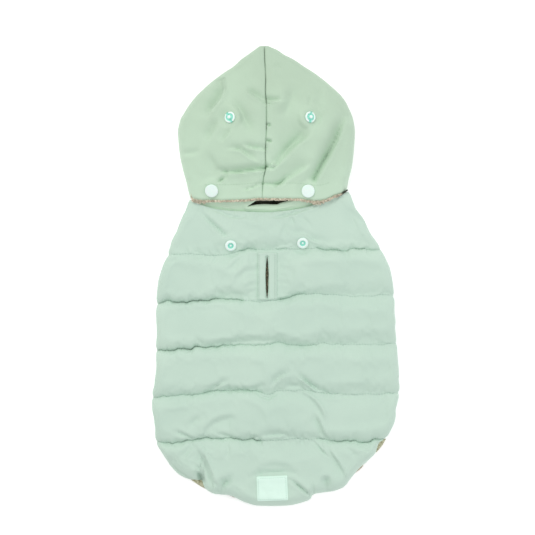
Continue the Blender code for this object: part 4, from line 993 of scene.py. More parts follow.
def held_points(outer, table):
    """Which points of the back the stitching, folds and snaps hold in place."""
    held = np.zeros(outer.shape[:2], bool)
    for number, (_, share, distance) in enumerate(table):
        in_hem = distance is not None and distance < HEM_HELD * HEM_ROLL
        held[number] = share == 0.0 or in_hem
    held[0] = held[-1] = True
    edge = ARC_STEPS // 2 + TURN_STEPS
    held[:, :edge] = held[:, -edge:] = True
    x, y = outer[..., 0], outer[..., 1]
    zones = np.array([row[0] for row in table])[:, None]
    held |= (np.abs(x - SLIT_X) < PLACKET_HALF_WIDTH + 0.5) & (zones == SLIT_ZONE)
    held |= (np.abs(x - SLIT_X) < 1.5)
    for seat_x, seat_y, _, _, _, radius in yoke_seats.values():
        held |= np.hypot(x - seat_x, y - seat_y) < radius + SEAT_MARGIN
    return held


def painted_valley_shade(zone, x, y):
    """Painted shade from 0 to 1: how deep in a sharp quilting line the points of a row lie, with more
    where creases press the cloth deep.
    """
    above, below = line_distances(zone, x, y)
    uneven = clamp(0.6 + 0.7 * noise(7 + zone, x / 5.0))
    shade = line_sharpness[zone](x) ** 1.6 * np.exp(-np.maximum(above, 0) / 0.7)
    if zone < LAST_ZONE:
        shade = shade + line_sharpness[zone + 1](x) ** 1.6 * np.exp(-np.maximum(below, 0) / 0.9)
    pressed = BODY_FOLDING * crease_depth(body_creases, x, y)
    return 0.75 * shade * uneven + 0.5 * smooth_step(pressed, 3.6, 7.0)


def add_back(materials):
    table = body_row_table()
    halves = [(back_half(row, -1), back_half(row, 1)) for row in table]
    outer, inner = [np.array([np.concatenate((left[layer][::-1], right[layer]))
                              for left, right in halves]) for layer in (0, 1)]
    rows, columns = outer.shape[:2]
    sparse = np.ix_(range(0, rows, SIM_STRIDE), range(0, columns, SIM_STRIDE))
    shift = inflate(outer[sparse], held_points(outer, table)[sparse])
    outer = outer + refine(shift, SIM_STRIDE, rows, columns)
    # painted shade of the sharp quilting lines and deep creases, kept on the mesh as its shade attribute
    shade = np.array([painted_valley_shade(row[0], *outer[i, :, :2].T) for i, row in enumerate(table)])
    slit = [number for number, row in enumerate(table)
            if SLIT_LOW <= float(body_row_y(row, SLIT_X)) <= SLIT_HIGH]
    hole = (slit[0], slit[-1], columns // 2 - 1, columns // 2)
    return add_wall("back_shell", outer, inner, materials, INSIDE_STRIDE, hole, shade)


# ---- panels and slivers underneath

def under_ends(y):
    """Left and right ends of the panels under the body at a height up the jacket."""
    inset = SIDE_RADIUS + body_turn(y) + 0.3 + LINING_INSET * smooth_step(y, *INSET_GROWS)
    inset += (LEG_HOLE_IN_BACK + LEG_HOLE_IN_BELLY) * leg_hole_share(y)
    return float(body_left(y)) + inset, float(body_right(y)) - inset


def belly_top(x):
    """The belly's upper end, under the neckline."""
    left, right = BODY_OUTLINE[1][1:]
    share = clamp((x - left) / (right - left))
    lower = clamp((MIDDLE_SHARE - share) / MIDDLE_SHARE)
    upper = clamp((share - MIDDLE_SHARE) / (1 - MIDDLE_SHARE))
    left_top, middle_top, right_top = BELLY_TOPS
    return np.where(share < MIDDLE_SHARE, lerp(middle_top, left_top, lower ** BELLY_TOP_BOW),
                    lerp(middle_top, right_top, upper ** BELLY_TOP_BOW))


def add_under_panel(name, top_y, low_y, rows, columns, materials, roughness, period):
    """A panel that lies on the floor between two heights up the jacket."""
    tops, lows = [], []
    for share in np.arange(rows + 1) / rows:
        left, right = under_ends(lerp(float(top_y(0.0)), float(low_y(0.0)), share))
        x = lerp(left, right, np.arange(columns + 1) / columns)
        y = lerp(top_y(x), low_y(x), share)
        edge = np.minimum.reduce([x - left, right - x, np.abs(top_y(x) - y),
                                  np.abs(y - low_y(x))])
        round_off = 0.6 * np.exp(-edge / 0.8)
        bumps = roughness * noise(91, x / period, y / period)
        tops.append(np.column_stack((x, y, BELLY_CLOTH - round_off + np.minimum(bumps, 0) * 0.3)))
        lows.append(np.column_stack((x, y, round_off + np.abs(bumps) * 0.5)))
    return add_wall(name, np.array(lows), np.array(tops), materials)


def add_sliver(name, shell_side, free_side, material, top=HEM_LINING_HEIGHT, low=EDGE_LOW,
               rough=0.35):
    """A sliver of cloth between two lines, rounded over its free side."""
    along, places = np.linspace(0, 1, 25), np.linspace(0, 1, len(shell_side))
    shell, free = [np.column_stack([np.interp(along, places, column) for column in zip(*line)])
                   for line in (shell_side, free_side)]
    outer, inner = [], []
    for t in np.linspace(0, 1, 9):
        line = lerp(shell, free, t)
        bumps = rough * noise(97, *(line / 1.3).T)
        outer.append(np.column_stack((line, top - 1.1 * t ** 3 + bumps)))
        inner.append(np.column_stack((line, np.full(25, low))))
    return add_wall(name, np.array(outer), np.array(inner), [material, material])


# ---- the hood

def domed_height(x, y):
    """Height of the hood's outer cloth, without the seam, creases and seats."""
    seam = hood_seam(y)
    edge = np.where(x < seam, hood_left_edge(y), hood_right_edge(y))
    across = clamp((x - seam) / (edge - seam))
    return lerp(hood_ridge(y), hood_side(y), across ** DOME_POWER)


def solid_hood_height(x, y):
    """Height of the hood as its snaps are seated on it."""
    return domed_height(x, y) - crease_depth(hood_creases, x, y) * 0.5


def ripples(x, y):
    """The fine ripples of the hood's thin cloth."""
    fine = 0.14 * noise(101, x / 3.1 + y / 17.0, y / 9.0)
    broad = 0.55 * noise(103, x / 19.0, y / 23.0) + 0.28 * noise(105, x / 9.0, y / 12.0)
    upright = 0.2 * noise(107, x / 2.6, y / 14.0) * smooth_step(y, *HOOD_LOW)
    return fine + broad + upright


def hood_row_y(base, x):
    bend = 1 - smooth_step(base, HOOD_BOTTOM, HOOD_BOTTOM + HEM_BEND_REACH)
    return base + (hood_hem(x) - HOOD_BOTTOM) * bend


def hood_height(x, y, from_seam, above_hem):
    """Height of the hood's outer cloth."""
    fade = smooth_step(y, *VALLEY_STARTS) * smooth_step(y, *VALLEY_ENDS)
    z = domed_height(x, y) - SEAM_VALLEY[0] * fade * bell(from_seam, SEAM_VALLEY[1])
    z = z - lerp(0.35, 1.0, fade) * SEAM_GROOVE[0] * np.exp(-from_seam / SEAM_GROOVE[1])
    tip = smooth_step(y, *HOOD_TIP)
    z = z - HOOD_FOLDING * crease_depth(hood_creases, x, y) * lerp(0.3, 1.0, tip)
    z = z + ripples(x, y) * lerp(0.2, 1.0, tip)
    stitched = 0.4 * bell(above_hem - HOOD_STITCHING, 0.8)
    z = z - stitched * smooth_step(np.abs(x - HOOD_MIDDLE), *HOOD_STITCHING_ENDS)
    return seated(z, x, y, hood_seats)


def hood_half_row(base, side):
    """Outer and inner points of a row from the seam to the end of the turned side."""
    edge_of = hood_left_edge if side < 0 else hood_right_edge
    edge = float(edge_of(hood_row_y(base, float(edge_of(base)))))
    seam = float(hood_seam(base)) + side * 0.02
    width = abs(edge - seam)
    edge_y = float(hood_row_y(base, edge))
    side_height = float(hood_side(edge_y))
    flat = float(smooth_step(edge_y, HOOD_DROP_END, HOOD_DROP_START))
    radius = min(HOOD_RADIUS, TIP_RADIUS * width)
    wall = min(HOOD_CLOTH, TIP_WALL * radius)
    centre = lerp(EDGE_LOW + SMALLEST_TURN, min(HOOD_SIDE_CENTRE, TIP_CENTRE * side_height), flat)
    turn = min(float(hood_turn(edge_y)), max(SMALLEST_TURN, width - radius - TURN_CLEARANCE))
    x = lerp(seam, edge - side * radius, (np.arange(HOOD_COLUMNS + 1) / HOOD_COLUMNS) ** 1.5)
    y = hood_row_y(base, x)
    z = hood_height(x, y, np.abs(x - seam), base - HOOD_BOTTOM)
    inside = (np.minimum(domed_height(x, y) - crease_depth(hood_creases, x, y), z)
              - min(HOOD_CLOTH, wall + TIP_EXTRA))
    round_off = 1.3 * math.sqrt(max(0.0, 1 - min(1.0, (base - HOOD_BOTTOM) / 1.4)))
    return folded_row(x, y, z - round_off, inside + round_off * 0.6, side, edge,
                      lambda places: hood_row_y(base, places), radius, wall, (centre, centre),
                      min(HOOD_CLOTH, TIP_UNDER * side_height), flat, turn)


def lowest_near(heights, reach):
    """The lowest of the heights within some rows and columns of each point."""
    for _ in range(reach):
        padded = np.pad(heights, 1, mode="edge")
        heights = np.minimum.reduce([padded[:-2, 1:-1], padded[2:, 1:-1], padded[1:-1, :-2],
                                     padded[1:-1, 2:], heights])
    return heights


def add_hood_half(name, side, materials):
    t = np.arange(HOOD_ROWS_COUNT) / HOOD_ROWS_COUNT
    bases = lerp(HOOD_TOP, HOOD_BOTTOM, t + 0.05 * np.sin(2 * math.pi * t))
    bases = [*bases, *[HOOD_BOTTOM + above for above in (0.7, 0.3, 0.1, 0.0)]]
    rows = [hood_half_row(float(base), side) for base in sorted(bases, reverse=True)]
    outer, inner = [np.array(layer) for layer in zip(*rows)]
    top = np.s_[:, :HOOD_COLUMNS]
    inner[top][..., 2] = np.minimum(inner[top][..., 2], lowest_near(outer[top][..., 2], 3) - 0.6)
    # painted shade along the hood's centre seam: faint near the hem, uneven above it
    seam = np.abs(outer[..., 0] - hood_seam(outer[..., 1]))
    dark = clamp(0.55 + 0.6 * noise(133, outer[..., 1] / 6.0))
    above = smooth_step(outer[..., 1], *reversed(HOOD_LOW))
    shade = lerp(0.25, dark, above) * np.exp(-seam / 0.32)
    return add_wall(name, outer, inner, materials, 3, shade=shade)


def add_hood_strip(materials):
    """The strip of sherpa inside the hood's hem."""
    x = np.linspace(*LINING_STRIP_ENDS, 121)
    outer, inner = [], []
    for step in np.linspace(0, 1, 13):
        y = lerp(hood_hem(x) + 8.0, hood_hem(x) - lining_shows(x) + 0.6, step)
        height = domed_height(x, np.maximum(y, hood_hem(x)))
        height -= 0.5 * np.exp(-np.abs(x - hood_seam(y)) / 2.0)
        z = height - HOOD_CLOTH - 0.5 + 0.3 * noise(111, x / 1.4, y / 1.2) - step ** 4
        outer.append(np.column_stack((x, y, z)))
        inner.append(np.column_stack((x, y, z - 2.0 + 1.2 * step ** 4)))
    return add_wall("hood_hem_lining", np.array(outer), np.array(inner), materials, 2)


# ---- the collar

def collar_points(share, x, layer, angle):
    """An outer and an inner point at a share of the way from the seam to the rim.

    The layer is 1 on the upper side of the ring, 0 underneath and 0.5 in its side folds.
    """
    reach = math.cos(angle) if layer == 0.5 else 0.0
    x_out = x + COLLAR_FOLD * reach
    seam = float(quilt_lines[0](x_out)) + COLLAR_SEAM_GAP
    rim = float(collar_rim(x_out) if layer else collar_front_rim(x_out))
    y = lerp(seam, max(rim, seam + COLLAR_LEAST_HEIGHT), share)
    if layer == 0.5:
        middle = COLLAR_TOP / 2
        return ((x_out, y, middle + middle * math.sin(angle)),
                (x + (COLLAR_FOLD - COLLAR_CLOTH) * reach, y,
                 middle + (middle - COLLAR_CLOTH) * math.sin(angle)))
    round_off = 0.9 * max(0.0, (share - 0.9) / 0.1) ** 2
    sag = float(collar_sag(x)) * float(smooth_step(share, 0.3, 1.0))
    pressed = (0.8 * bell(share, 0.07) + 0.3 * bell(y - seam - 1.6, 0.6)
               + float(crease_depth(collar_creases, x, y)) - 0.35 * noise(121, x / 11.0, y / 5.0))
    rising = COLLAR_RISE * float(smooth_step(share, 0.0, 0.8)) * layer
    top = COLLAR_TOP + rising - sag - layer * float(pressed)
    return ((x, y, layer * (top - round_off)),
            (x, y, lerp(COLLAR_CLOTH, top - COLLAR_CLOTH + round_off * 0.5, layer)))


def add_collar(materials):
    """A flattened ring of cloth from the neckline seam up to its rim under the hood."""
    left, right = COLLAR_LEFT + COLLAR_FOLD, COLLAR_RIGHT - COLLAR_FOLD
    upper_x = np.linspace(left, right, 201)
    angles = np.radians(np.linspace(75, -75, 11))
    columns = [*[(x, 1.0, 0.0) for x in upper_x], *[(right, 0.5, angle) for angle in angles],
               *[(x, 0.0, 0.0) for x in upper_x[::-5]],
               *[(left, 0.5, math.pi + angle) for angle in angles]]
    grid = np.array([[collar_points(share, *column) for column in columns]
                     for share in np.linspace(0, 1, 25)])
    rows, count = grid.shape[:2]
    other = rows * count
    faces, inside = [], []
    for layer in (0, 1):
        for i, j in np.ndindex(rows - 1, count):
            a = layer * other + i * count
            b, k = a + count, (j + 1) % count
            faces.append((a + j, a + k, b + k, b + j))
            inside.append(layer)
    for i in (0, (rows - 1) * count):
        for j in range(count):
            k = (j + 1) % count
            faces.append((i + j, i + k, other + i + k, other + i + j))
            inside.append(0)
    points = np.concatenate((grid[:, :, 0].reshape(-1, 3), grid[:, :, 1].reshape(-1, 3)))
    return new_piece("neck_band", points, faces, materials, inside)


# ---- pieces on the panels

def tree_of(piece):
    """A tree for finding points on a piece."""
    bm = bmesh.new()
    bm.from_mesh(piece.data)
    tree = BVHTree.FromBMesh(bm)
    bm.free()
    return tree


def height_on(trees, x, y):
    """The highest point of some pieces at (x, y), in millimetres, or None."""
    start = Vector((x * MM, y * MM, 1.0))
    found = [tree.ray_cast(start, Vector((0, 0, -1)))[0] for tree in trees]
    return max(((point / MM).z for point in found if point), default=None)


def turned(x, y, turn, middle):
    """A point turned anticlockwise about the middle."""
    x, y = x - middle[0], y - middle[1]
    return (middle[0] + x * math.cos(turn) - y * math.sin(turn),
            middle[1] + x * math.sin(turn) + y * math.cos(turn))


def closed_in(x, y, side):
    """A welt's places, drawn in over the slit's line beyond both of its ends."""
    beyond = np.maximum(smooth_step(y, SLIT_HIGH - 0.6, SLIT_HIGH + 1.2),
                        smooth_step(y, SLIT_LOW + 0.6, SLIT_LOW - 0.6))
    near = clamp(1 - (side * (x - SLIT_X) - 1.7) / 4.0)
    return x - side * WELTS_MEET * near * beyond


def add_patch(name, sides, steps, thickness, material, seed=0, corner=0.0, turn=0.0, side=0):
    """A rectangular patch that follows the back, with soft edges and round corners."""
    left, right, low, high = sides
    u, v = np.meshgrid(*[np.linspace(-1, 1, count + 1) for count in steps])
    half_x, half_y = (right - left) / 2, (high - low) / 2
    x, y = u * half_x, v * half_y
    if corner:
        inner_x, inner_y = half_x - corner, half_y - corner
        over_x, over_y = np.maximum(np.abs(x) - inner_x, 0), np.maximum(np.abs(y) - inner_y, 0)
        drawn_in = np.maximum(over_x, over_y) / np.maximum(np.hypot(over_x, over_y), 1e-9)
        in_corner = (over_x > 0) & (over_y > 0)
        x = np.where(in_corner, np.sign(x) * (inner_x + over_x * drawn_in), x)
        y = np.where(in_corner, np.sign(y) * (inner_y + over_y * drawn_in), y)
    middle = (left + right) / 2, (low + high) / 2
    x, y = turned(x + middle[0], y + middle[1], turn, middle)
    if side:
        x = closed_in(x, y, side)
    z = np.zeros(x.shape)
    for i, j in np.ndindex(x.shape):
        height = height_on([back_tree], x[i, j], y[i, j])
        z[i, j] = z[max(i - 1, 0), j] if height is None else height
    edge = np.minimum((1 - np.abs(u)) * half_x, (1 - np.abs(v)) * half_y)
    crown = thickness * (1 - 0.55 * np.exp(-edge / 0.35)) + 0.05 * noise(seed + 131, x / 5, y / 5)
    base = z + LIFT * 0.35
    return add_wall(name, np.dstack((x, y, base + crown)), np.dstack((x, y, base - 0.4)),
                    [material, material])


def add_tube(points, faces, rings, first_axes, second_axis, sides=TUBE_SIDES):
    """Adds a closed tube; each ring is (centre, radius) and lies in the plane of two axes."""
    first = len(points)
    for number, (centre, radius) in enumerate(rings):
        for k in range(sides):
            angle = 2 * math.pi * k / sides
            around = first_axes[number] * math.cos(angle) + second_axis * math.sin(angle)
            points.append(tuple(centre + around * radius))
            if number:
                before = first + (number - 1) * sides
                a, b = before + k, before + (k + 1) % sides
                faces.append((a, b, b + sides, a + sides))
    faces.append(tuple(first + k for k in reversed(range(sides))))
    faces.append(tuple(len(points) - sides + k for k in range(sides)))


def add_stitches(name, pieces, runs, material, pitch=2.0, length=1.5, radius=0.2, lift=0.0):
    """Sewing thread along runs of (x, y) points that lie on the given pieces."""
    trees = [tree_of(piece) for piece in pieces]
    points, faces = [], []
    for run in runs:
        run = np.array(run, float)
        reached = np.concatenate(([0.0], np.cumsum(np.hypot(*np.diff(run, axis=0).T))))
        for start in np.arange(STITCH_MARGIN, reached[-1] - length, pitch):
            places = start + length * np.array(STITCH_PLACES)
            line = []
            for place, rise in zip(places, STITCH_RISES):
                x, y = [np.interp(place, reached, column) for column in run.T]
                height = height_on(trees, x, y)
                if height is not None:
                    line.append(Vector((x, y, height + lift + rise * radius)))
            if len(line) == len(STITCH_PLACES):
                direction = (line[-1] - line[0]).normalized()
                across = direction.cross(Vector((0, 0, 1))).normalized()
                rings = [(centre, radius * swell) for centre, swell in zip(line, STITCH_SWELLS)]
                add_tube(points, faces, rings, [across] * len(line), across.cross(direction))
    return new_piece(name, points, faces, [material])


def add_curls(name, spots, material, seed, rings=CURL_RINGS):
    """Curls of pile: short bent tubes, each at a spot with its radius, in millimetres."""
    rng = np.random.default_rng(seed)
    points, faces = [], []
    for x, y, z, size in spots:
        turn = rng.uniform(0, 2 * math.pi)
        tilt = rng.uniform(-1.1, 1.1)
        sweep = rng.uniform(3.2, 5.4)
        thick = size * rng.uniform(0.34, 0.5)
        axis = Vector((math.sin(tilt) * math.cos(turn), math.sin(tilt) * math.sin(turn),
                       math.cos(tilt)))
        side = axis.orthogonal().normalized()
        other = axis.cross(side)
        angles = [turn + sweep * ring / (rings - 1) for ring in range(rings)]
        outward = [side * math.cos(angle) + other * math.sin(angle) for angle in angles]
        tube = [(Vector((x, y, z)) + out * size + axis * (size * 0.7 * ring / rings),
                 thick * math.sin(math.pi * (ring + 0.6) / (rings + 0.2)) ** 0.5)
                for ring, out in enumerate(outward)]
        add_tube(points, faces, tube, outward, axis)
    return new_piece(name, points, faces, [material], sharp=80.0)


def add_snap(name, kind, seat, materials):
    """A turned snap, square to its seat."""
    normal = Vector((-seat[3], -seat[4], 1.0)).normalized()
    turn = Vector((0, 0, 1)).rotation_difference(normal)
    base = Vector(seat[:3]) + normal * LIFT * 0.4
    profile = SNAP_PROFILES[kind]
    slotted = [any(abs((360 * k / SNAP_SIDES - slot + 180) % 360 - 180) < SLOT_HALF_ANGLE
                   for slot in STUD_SLOTS.get(name, ())) for k in range(SNAP_SIDES)]
    points = [(0, 0, profile[0][1])]
    for radius, height in profile[1:-1]:
        for k, in_slot in enumerate(slotted):
            slot = SLOT_DEPTH if in_slot and SLOT_RADII[0] < radius < SLOT_RADII[1] else 0.0
            angle = 2 * math.pi * k / SNAP_SIDES
            points.append((radius * math.cos(angle), radius * math.sin(angle),
                           max(height - slot, min(height, 0.1))))
    points.append((0, 0, profile[-1][1]))
    low, high = SNAP_RECESSES[kind]
    rings = list(zip(profile[1:-1], profile[2:-1]))
    faces, recessed = [], []
    for k, in_slot in enumerate(slotted):
        n = (k + 1) % SNAP_SIDES
        faces.append((0, 1 + k, 1 + n))
        recessed.append(0)
        for ring, ((radius, height), (next_radius, _)) in enumerate(rings):
            a, b = 1 + ring * SNAP_SIDES, 1 + (ring + 1) * SNAP_SIDES
            faces.append((a + k, b + k, b + n, a + n))
            # recessed faces and the notches' faces take the painted-shade plastic
            in_recess = low < (radius + next_radius) / 2 < high and height > 0.3
            recessed.append(int(in_recess or (in_slot and radius > SLOT_RADII[0])))
        a = 1 + len(rings) * SNAP_SIDES
        faces.append((a + k, len(points) - 1, a + n))
        recessed.append(0)
    return new_piece(name + "_snap", [base + turn @ Vector(point) for point in points], faces,
                     materials, recessed, sharp=70.0)


# ---- materials

def node(tree, kind, inputs=(), **settings):
    """A shader node; colours among its inputs have three numbers."""
    made = tree.nodes.new("ShaderNode" + kind)
    for key, value in settings.items():
        setattr(made, key, value)
    for key, value in dict(inputs).items():
        if isinstance(value, bpy.types.NodeSocket):
            tree.links.new(value, made.inputs[key])
        elif made.inputs[key].type == "RGBA":
            made.inputs[key].default_value = (*value, 1.0)
        else:
            made.inputs[key].default_value = value
    return made


def noise_of(tree, place, scale, detail, **more):
    inputs = {"Vector": place, "Scale": scale, "Detail": detail, **more}
    return node(tree, "TexNoise", inputs).outputs["Fac"]


def new_material(name, **fixed):
    """A material, its shader with the given fixed inputs, and object coordinates."""
    material = bpy.data.materials.new(name)
    material.use_nodes = True
    tree = material.node_tree
    shader = tree.nodes["Principled BSDF"]
    for key, value in fixed.items():
        shader.inputs[key.replace("_", " ")].default_value = value
    return material, tree, shader, node(tree, "TexCoord").outputs["Object"]


def blend_colours(tree, factor, first, second):
    return node(tree, "Mix", {0: factor, 6: first, 7: second}, data_type="RGBA").outputs[2]


def remap(tree, value, low, high, to_low=0.0, to_high=1.0):
    made = node(tree, "MapRange", {"Value": value, "From Min": low, "From Max": high,
                                   "To Min": to_low, "To Max": to_high})
    return made.outputs["Result"]


def math_of(tree, operation, first, second, **settings):
    return node(tree, "Math", {0: first, 1: second}, operation=operation, **settings).outputs[0]


def bumps(tree, shader, *heights):
    """Bumps of (height, strength, distance in metres), each on top of the one before."""
    normal = {}
    for height, strength, distance in heights:
        made = node(tree, "Bump", {"Height": height, "Strength": strength, "Distance": distance,
                                   **normal})
        normal = {"Normal": made.outputs["Normal"]}
    tree.links.new(normal["Normal"], shader.inputs["Normal"])


def woven_material(name, light, dark, painted_shade_colour, thread, sheen, painted_shade_span=None):
    """Matt woven cloth: threads, slight crinkles and a soft change of tone, with painted shade from the
    shade attribute and, where a span is given, along Y.
    """
    material, tree, shader, place = new_material(
        name, Roughness=0.78, Sheen_Weight=sheen, Sheen_Roughness=0.45, Specular_IOR_Level=0.28)
    tone = remap(tree, noise_of(tree, place, 26.0, 3.0), 0.35, 0.65)
    # painted shade: over the span the cloth goes over to its second colour along Y
    if painted_shade_span is not None:
        along = node(tree, "SeparateXYZ", {"Vector": place}).outputs["Y"]
        tone = math_of(tree, "ADD", remap(tree, tone, 0.0, 1.0, 0.0, 0.35),
                       remap(tree, along, *painted_shade_span, -0.25, 0.9), use_clamp=True)
    fibre = remap(tree, noise_of(tree, place, 1300.0, 1.0), 0.3, 0.9, 0.0, 0.25)
    speckled = blend_colours(tree, fibre, blend_colours(tree, tone, light, dark), dark)
    # painted shade: the shade attribute mixes in the colour of painted shade
    shade = node(tree, "Attribute", attribute_name="shade").outputs["Fac"]
    tree.links.new(blend_colours(tree, shade, speckled, painted_shade_colour), shader.inputs["Base Color"])
    waves = [node(tree, "TexWave", {"Vector": place, "Scale": 0.314 / thread,
                                    "Distortion": 0.6, "Detail": 1.0},
                  bands_direction=direction).outputs["Fac"] for direction in ("X", "Y")]
    crinkle = noise_of(tree, place, 260.0, 4.0, Roughness=0.6)
    bumps(tree, shader, (math_of(tree, "MULTIPLY", *waves), 0.35, 0.00005),
          (crinkle, 0.5, 0.00022))
    return material


def sherpa_material(name, light, mid, dark):
    """Curly pile: clumps a few millimetres across with painted shade in the hollows between them."""
    material, tree, shader, place = new_material(
        name, Roughness=1.0, Sheen_Weight=0.5, Sheen_Roughness=0.6, Specular_IOR_Level=0.1)
    warp = node(tree, "TexNoise", {"Vector": place, "Scale": 420.0, "Detail": 2.0})
    small = node(tree, "VectorMath", {0: warp.outputs["Color"], 3: 0.0016}, operation="SCALE")
    shifted = node(tree, "VectorMath", {0: place, 1: small.outputs[0]}, operation="ADD")
    clumps = node(tree, "TexVoronoi", {"Vector": shifted.outputs[0], "Scale": 480.0},
                  feature="F1").outputs["Distance"]
    strands = noise_of(tree, place, 2600.0, 3.0)
    body = blend_colours(tree, remap(tree, strands, 0.35, 0.7), light, mid)
    tree.links.new(blend_colours(tree, remap(tree, clumps, 0.25, 0.8), body, dark),
                   shader.inputs["Base Color"])
    bumps(tree, shader, (math_of(tree, "SUBTRACT", 1.0, clumps), 0.9, 0.0012),
          (strands, 0.6, 0.0003))
    return material


def plastic_material(name, light, dark):
    """Satin moulded plastic with a faint flow mark."""
    material, tree, shader, place = new_material(
        name, Specular_IOR_Level=0.5, Subsurface_Weight=0.15,
        Subsurface_Radius=(0.002, 0.003, 0.0025), Subsurface_Scale=0.5)
    marks = noise_of(tree, place, 320.0, 3.0)
    tree.links.new(blend_colours(tree, remap(tree, marks, 0.3, 0.7), light, dark),
                   shader.inputs["Base Color"])
    tree.links.new(remap(tree, marks, 0.3, 0.7, 0.26, 0.38), shader.inputs["Roughness"])
    bumps(tree, shader, (marks, 0.12, 0.0001))
    return material


cloth = {name: woven_material(name, *look) for name, *look in WOVEN}
pile = {name: sherpa_material(name, *look) for name, *look in PILES}
plastic = [plastic_material(name, *look) for name, *look in PLASTICS]

# ---- building

body_creases = placed_creases(BODY_CREASES, lambda x, y: CHANNEL_HEIGHT)
hood_creases = placed_creases(HOOD_CREASES, domed_height)
collar_creases = placed_creases(COLLAR_CREASES, lambda x, y: COLLAR_TOP + COLLAR_RISE / 2)
yoke_seats = snap_seats(("socket",), solid_yoke_height)
hood_seats = snap_seats(("cap", "stud"), solid_hood_height)


def place(piece, slot, *nodes):
    """Puts a piece on the body and hides the solids that it stands for; its finish, the slot, is not
    used.
    """
    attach(piece, "root")
    if nodes:
        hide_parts(*nodes)
    return piece


back = place(add_back([cloth["body_shell_cloth"], pile["sherpa_pile"]]), "body_shell",
             "back_panel")
back_tree = tree_of(back)

belly = place(add_under_panel("belly_cloth", belly_top,
                              lambda x: quilt_lines[LAST_ZONE - 1](x) + LINING_GAP, 90, 60,
                              [cloth["body_shell_cloth"], pile["sherpa_pile"]], 0.5, 14.0),
              "body_shell", "belly_panel")
tail = place(add_under_panel("tail_sherpa",
                             lambda x: quilt_lines[LAST_ZONE - 1](x) - LINING_GAP, hem_line, 60,
                             120, [pile["sherpa_pile"]] * 2, 1.1, 2.4), "sherpa", "tail_lining")
hem_edges = [place(add_sliver(name + "_pile", *lines, pile["olive_pile"]), "sherpa", name)
             for name, *lines in HEM_LININGS]
# the hem's peeps of lining, in the darker pile colour: painted shade
hem_edges += [place(add_sliver(name, *lines, pile["slit_pile_painted_shade"]), "sherpa")
              for name, *lines in HEM_PEEPS]

# the collar ring's inner faces take the painted-shadow pile for the dark inside of the neck
collar = place(add_collar([cloth["collar_cloth_painted_light"], pile["painted_shadow_pile"]]), "hood_shell", "collar")
collar_flap = place(add_sliver("collar_flap", *COLLAR_FLAP, cloth["collar_cloth_painted_light"],
                               COLLAR_FLAP_HEIGHT, COLLAR_FLAP_HEIGHT - 2.2, 0.1), "hood_shell")
# a sliver of painted shadow at the right end of the neck
neck_corner = place(add_sliver("neck_corner_painted_shadow", *NECK_CORNER, pile["painted_shadow_pile"],
                               NECK_CORNER_HEIGHT, NECK_CORNER_HEIGHT - 3.0), "sherpa")
hood_left, hood_right = [
    place(add_hood_half(name + "_cloth", side, [cloth["hood_shell_cloth"], pile["sherpa_pile"]]),
          "hood_shell", name) for name, side in (("hood_left", -1), ("hood_right", 1))]
strip = place(add_hood_strip([pile["sherpa_pile"]] * 2), "sherpa", "hood_lining")

for name, kind, _, _ in SNAPS:
    place(add_snap(name, kind, (yoke_seats | hood_seats)[name], plastic), "snap_plastic", name)

for name, left, right, stitched in WELTS:
    welt = place(add_patch(name + "_cloth", (SLIT_X + left, SLIT_X + right, WELTS_LOW, WELTS_HIGH),
                           (32, 90), WELT_CLOTH, cloth["body_shell_cloth"], len(name),
                           side=math.copysign(1.0, left + right)), "body_shell", name)
    line = [(SLIT_X + stitched, WELTS_LOW + 0.6), (SLIT_X + stitched, WELTS_HIGH - 0.6)]
    thread = place(add_stitches(name + "_thread", [welt], [line], cloth["welt_thread"],
                                length=1.6, lift=-0.02), "body_shell")
label = place(add_patch("hem_label", (LABEL_LEFT, LABEL_RIGHT, LABEL_LOW, LABEL_HIGH), (48, 40),
                        LABEL_CLOTH, cloth["label_cloth"], corner=0.8, turn=LABEL_TURN),
              "label_cloth", "label_patch")

line_runs = []
for curve in quilt_lines[1:]:
    y = float(curve(0.0))
    xs = np.linspace(float(body_left(y)) + 4, float(body_right(y)) - 4, 80)
    line_runs.append([(x, float(curve(x))) for x in xs])
place(add_stitches("quilting_thread", [back], line_runs, cloth["body_thread"],
                   *QUILTING_THREAD), "body_shell")
hem_run = [(x, float(hood_hem(x)) + HOOD_STITCHING) for x in np.linspace(*HOOD_THREAD_ENDS, 60)]
hood_thread_run = place(add_stitches("hood_hem_thread", [hood_left, hood_right], [hem_run],
                                     cloth["hood_thread"], *HOOD_THREAD), "hood_shell")
left, right = LABEL_LEFT + LABEL_BORDER, LABEL_RIGHT - LABEL_BORDER
low, high = LABEL_LOW + LABEL_BORDER, LABEL_HIGH - LABEL_BORDER
corners = [turned(x, y, LABEL_TURN, LABEL_MIDDLE)
           for x, y in ((left, low), (right, low), (right, high), (left, high))]
label_border = place(add_stitches("label_thread", [label], zip(corners, corners[1:] + corners[:1]),
                                  cloth["label_thread"]), "label_cloth")

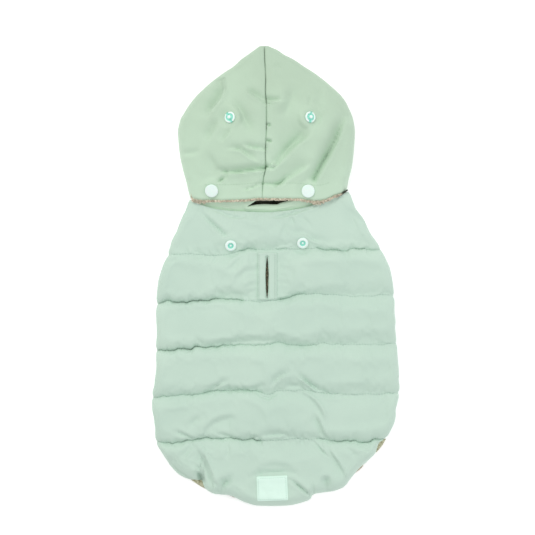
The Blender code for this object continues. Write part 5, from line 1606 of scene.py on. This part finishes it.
rng = np.random.default_rng(5)
hem_spots, slit_spots = [], []
for x in np.arange(LINING_STRIP_ENDS[0] + 1.2, HEM_CURL_END, HEM_CURL_STEP):
    for _ in range(3):
        x_here = x + rng.uniform(-0.4, 0.4)
        below = rng.uniform(0.0, float(lining_shows(x_here)) + 0.4)
        hem_y = float(hood_hem(x_here))
        z = float(domed_height(x_here, hem_y)) - 0.3 - rng.uniform(0.0, 0.5) - 0.5 * below
        hem_spots.append((x_here, hem_y - below, z, rng.uniform(0.4, 0.72)))
for y in np.arange(SLIT_LOW + 1.5, SLIT_HIGH - 1.5, SLIT_CURL_STEP):
    for _ in range(2):
        slit_spots.append((SLIT_X + rng.uniform(-1.6, 1.6), y, rng.uniform(5.4, 7.6),
                           rng.uniform(0.5, 0.9)))
hem_curls = place(add_curls("hood_hem_curls", hem_spots, pile["sherpa_pile"], 11), "sherpa")
# curls in the leash slit, in the darker pile colour: painted shade
place(add_curls("leash_slit_curls", slit_spots, pile["slit_pile_painted_shade"], 13), "sherpa")

# ---- floor, light and camera

floor_mesh = bpy.data.meshes.new("floor")
floor_mesh.from_pydata([(x * FLOOR_REACH, y * FLOOR_REACH, FLOOR_Z)
                        for x, y in ((-1, -1), (1, -1), (1, 1), (-1, 1))], [], [(0, 1, 2, 3)])
floor_material, tree, shader, spot = new_material(
    "floor_paper", Roughness=1.0, Specular_IOR_Level=0.0, Emission_Color=(1.0, 1.0, 1.0, 1.0),
    Emission_Strength=FLOOR_GLOW)
grain = node(tree, "TexNoise", {"Vector": spot, "Scale": 40.0})
tree.links.new(blend_colours(tree, grain.outputs["Fac"], (0.93, 0.93, 0.93), (0.95, 0.95, 0.95)),
               shader.inputs["Base Color"])
floor_mesh.materials.append(floor_material)
floor = linked("floor", floor_mesh)

world = bpy.data.worlds.new("studio")
bpy.context.scene.world = world
world.use_nodes = True
background = world.node_tree.nodes["Background"]
background.inputs["Color"].default_value = (1.0, 1.0, 1.0, 1.0)
background.inputs["Strength"].default_value = WORLD_LIGHT

for name, energy, size, tint, location in LIGHTS:
    light_data = bpy.data.lights.new(name, "AREA")
    light_data.energy, light_data.color = energy, tint
    light_data.shape, light_data.size = "DISK", size
    light = linked(name, light_data)
    light.location = location
    light.rotation_euler = (-Vector(location)).to_track_quat("-Z", "Y").to_euler()
    light.visible_camera = False

camera_data = bpy.data.cameras.new("camera")
camera_data.lens, camera_data.sensor_width, camera_data.clip_end = LENS, SENSOR, 20.0
camera = linked("camera", camera_data)
middle_x, middle_y = photo(FRAME_PIXELS / 2, FRAME_PIXELS / 2)
camera.location = (middle_x * MM, middle_y * MM, (CAMERA_DISTANCE + SHARP_HEIGHT) * MM)
camera.rotation_euler = (0.0, 0.0, 0.0)
bpy.context.scene.camera = camera
bpy.context.scene.view_settings.view_transform = "Standard"
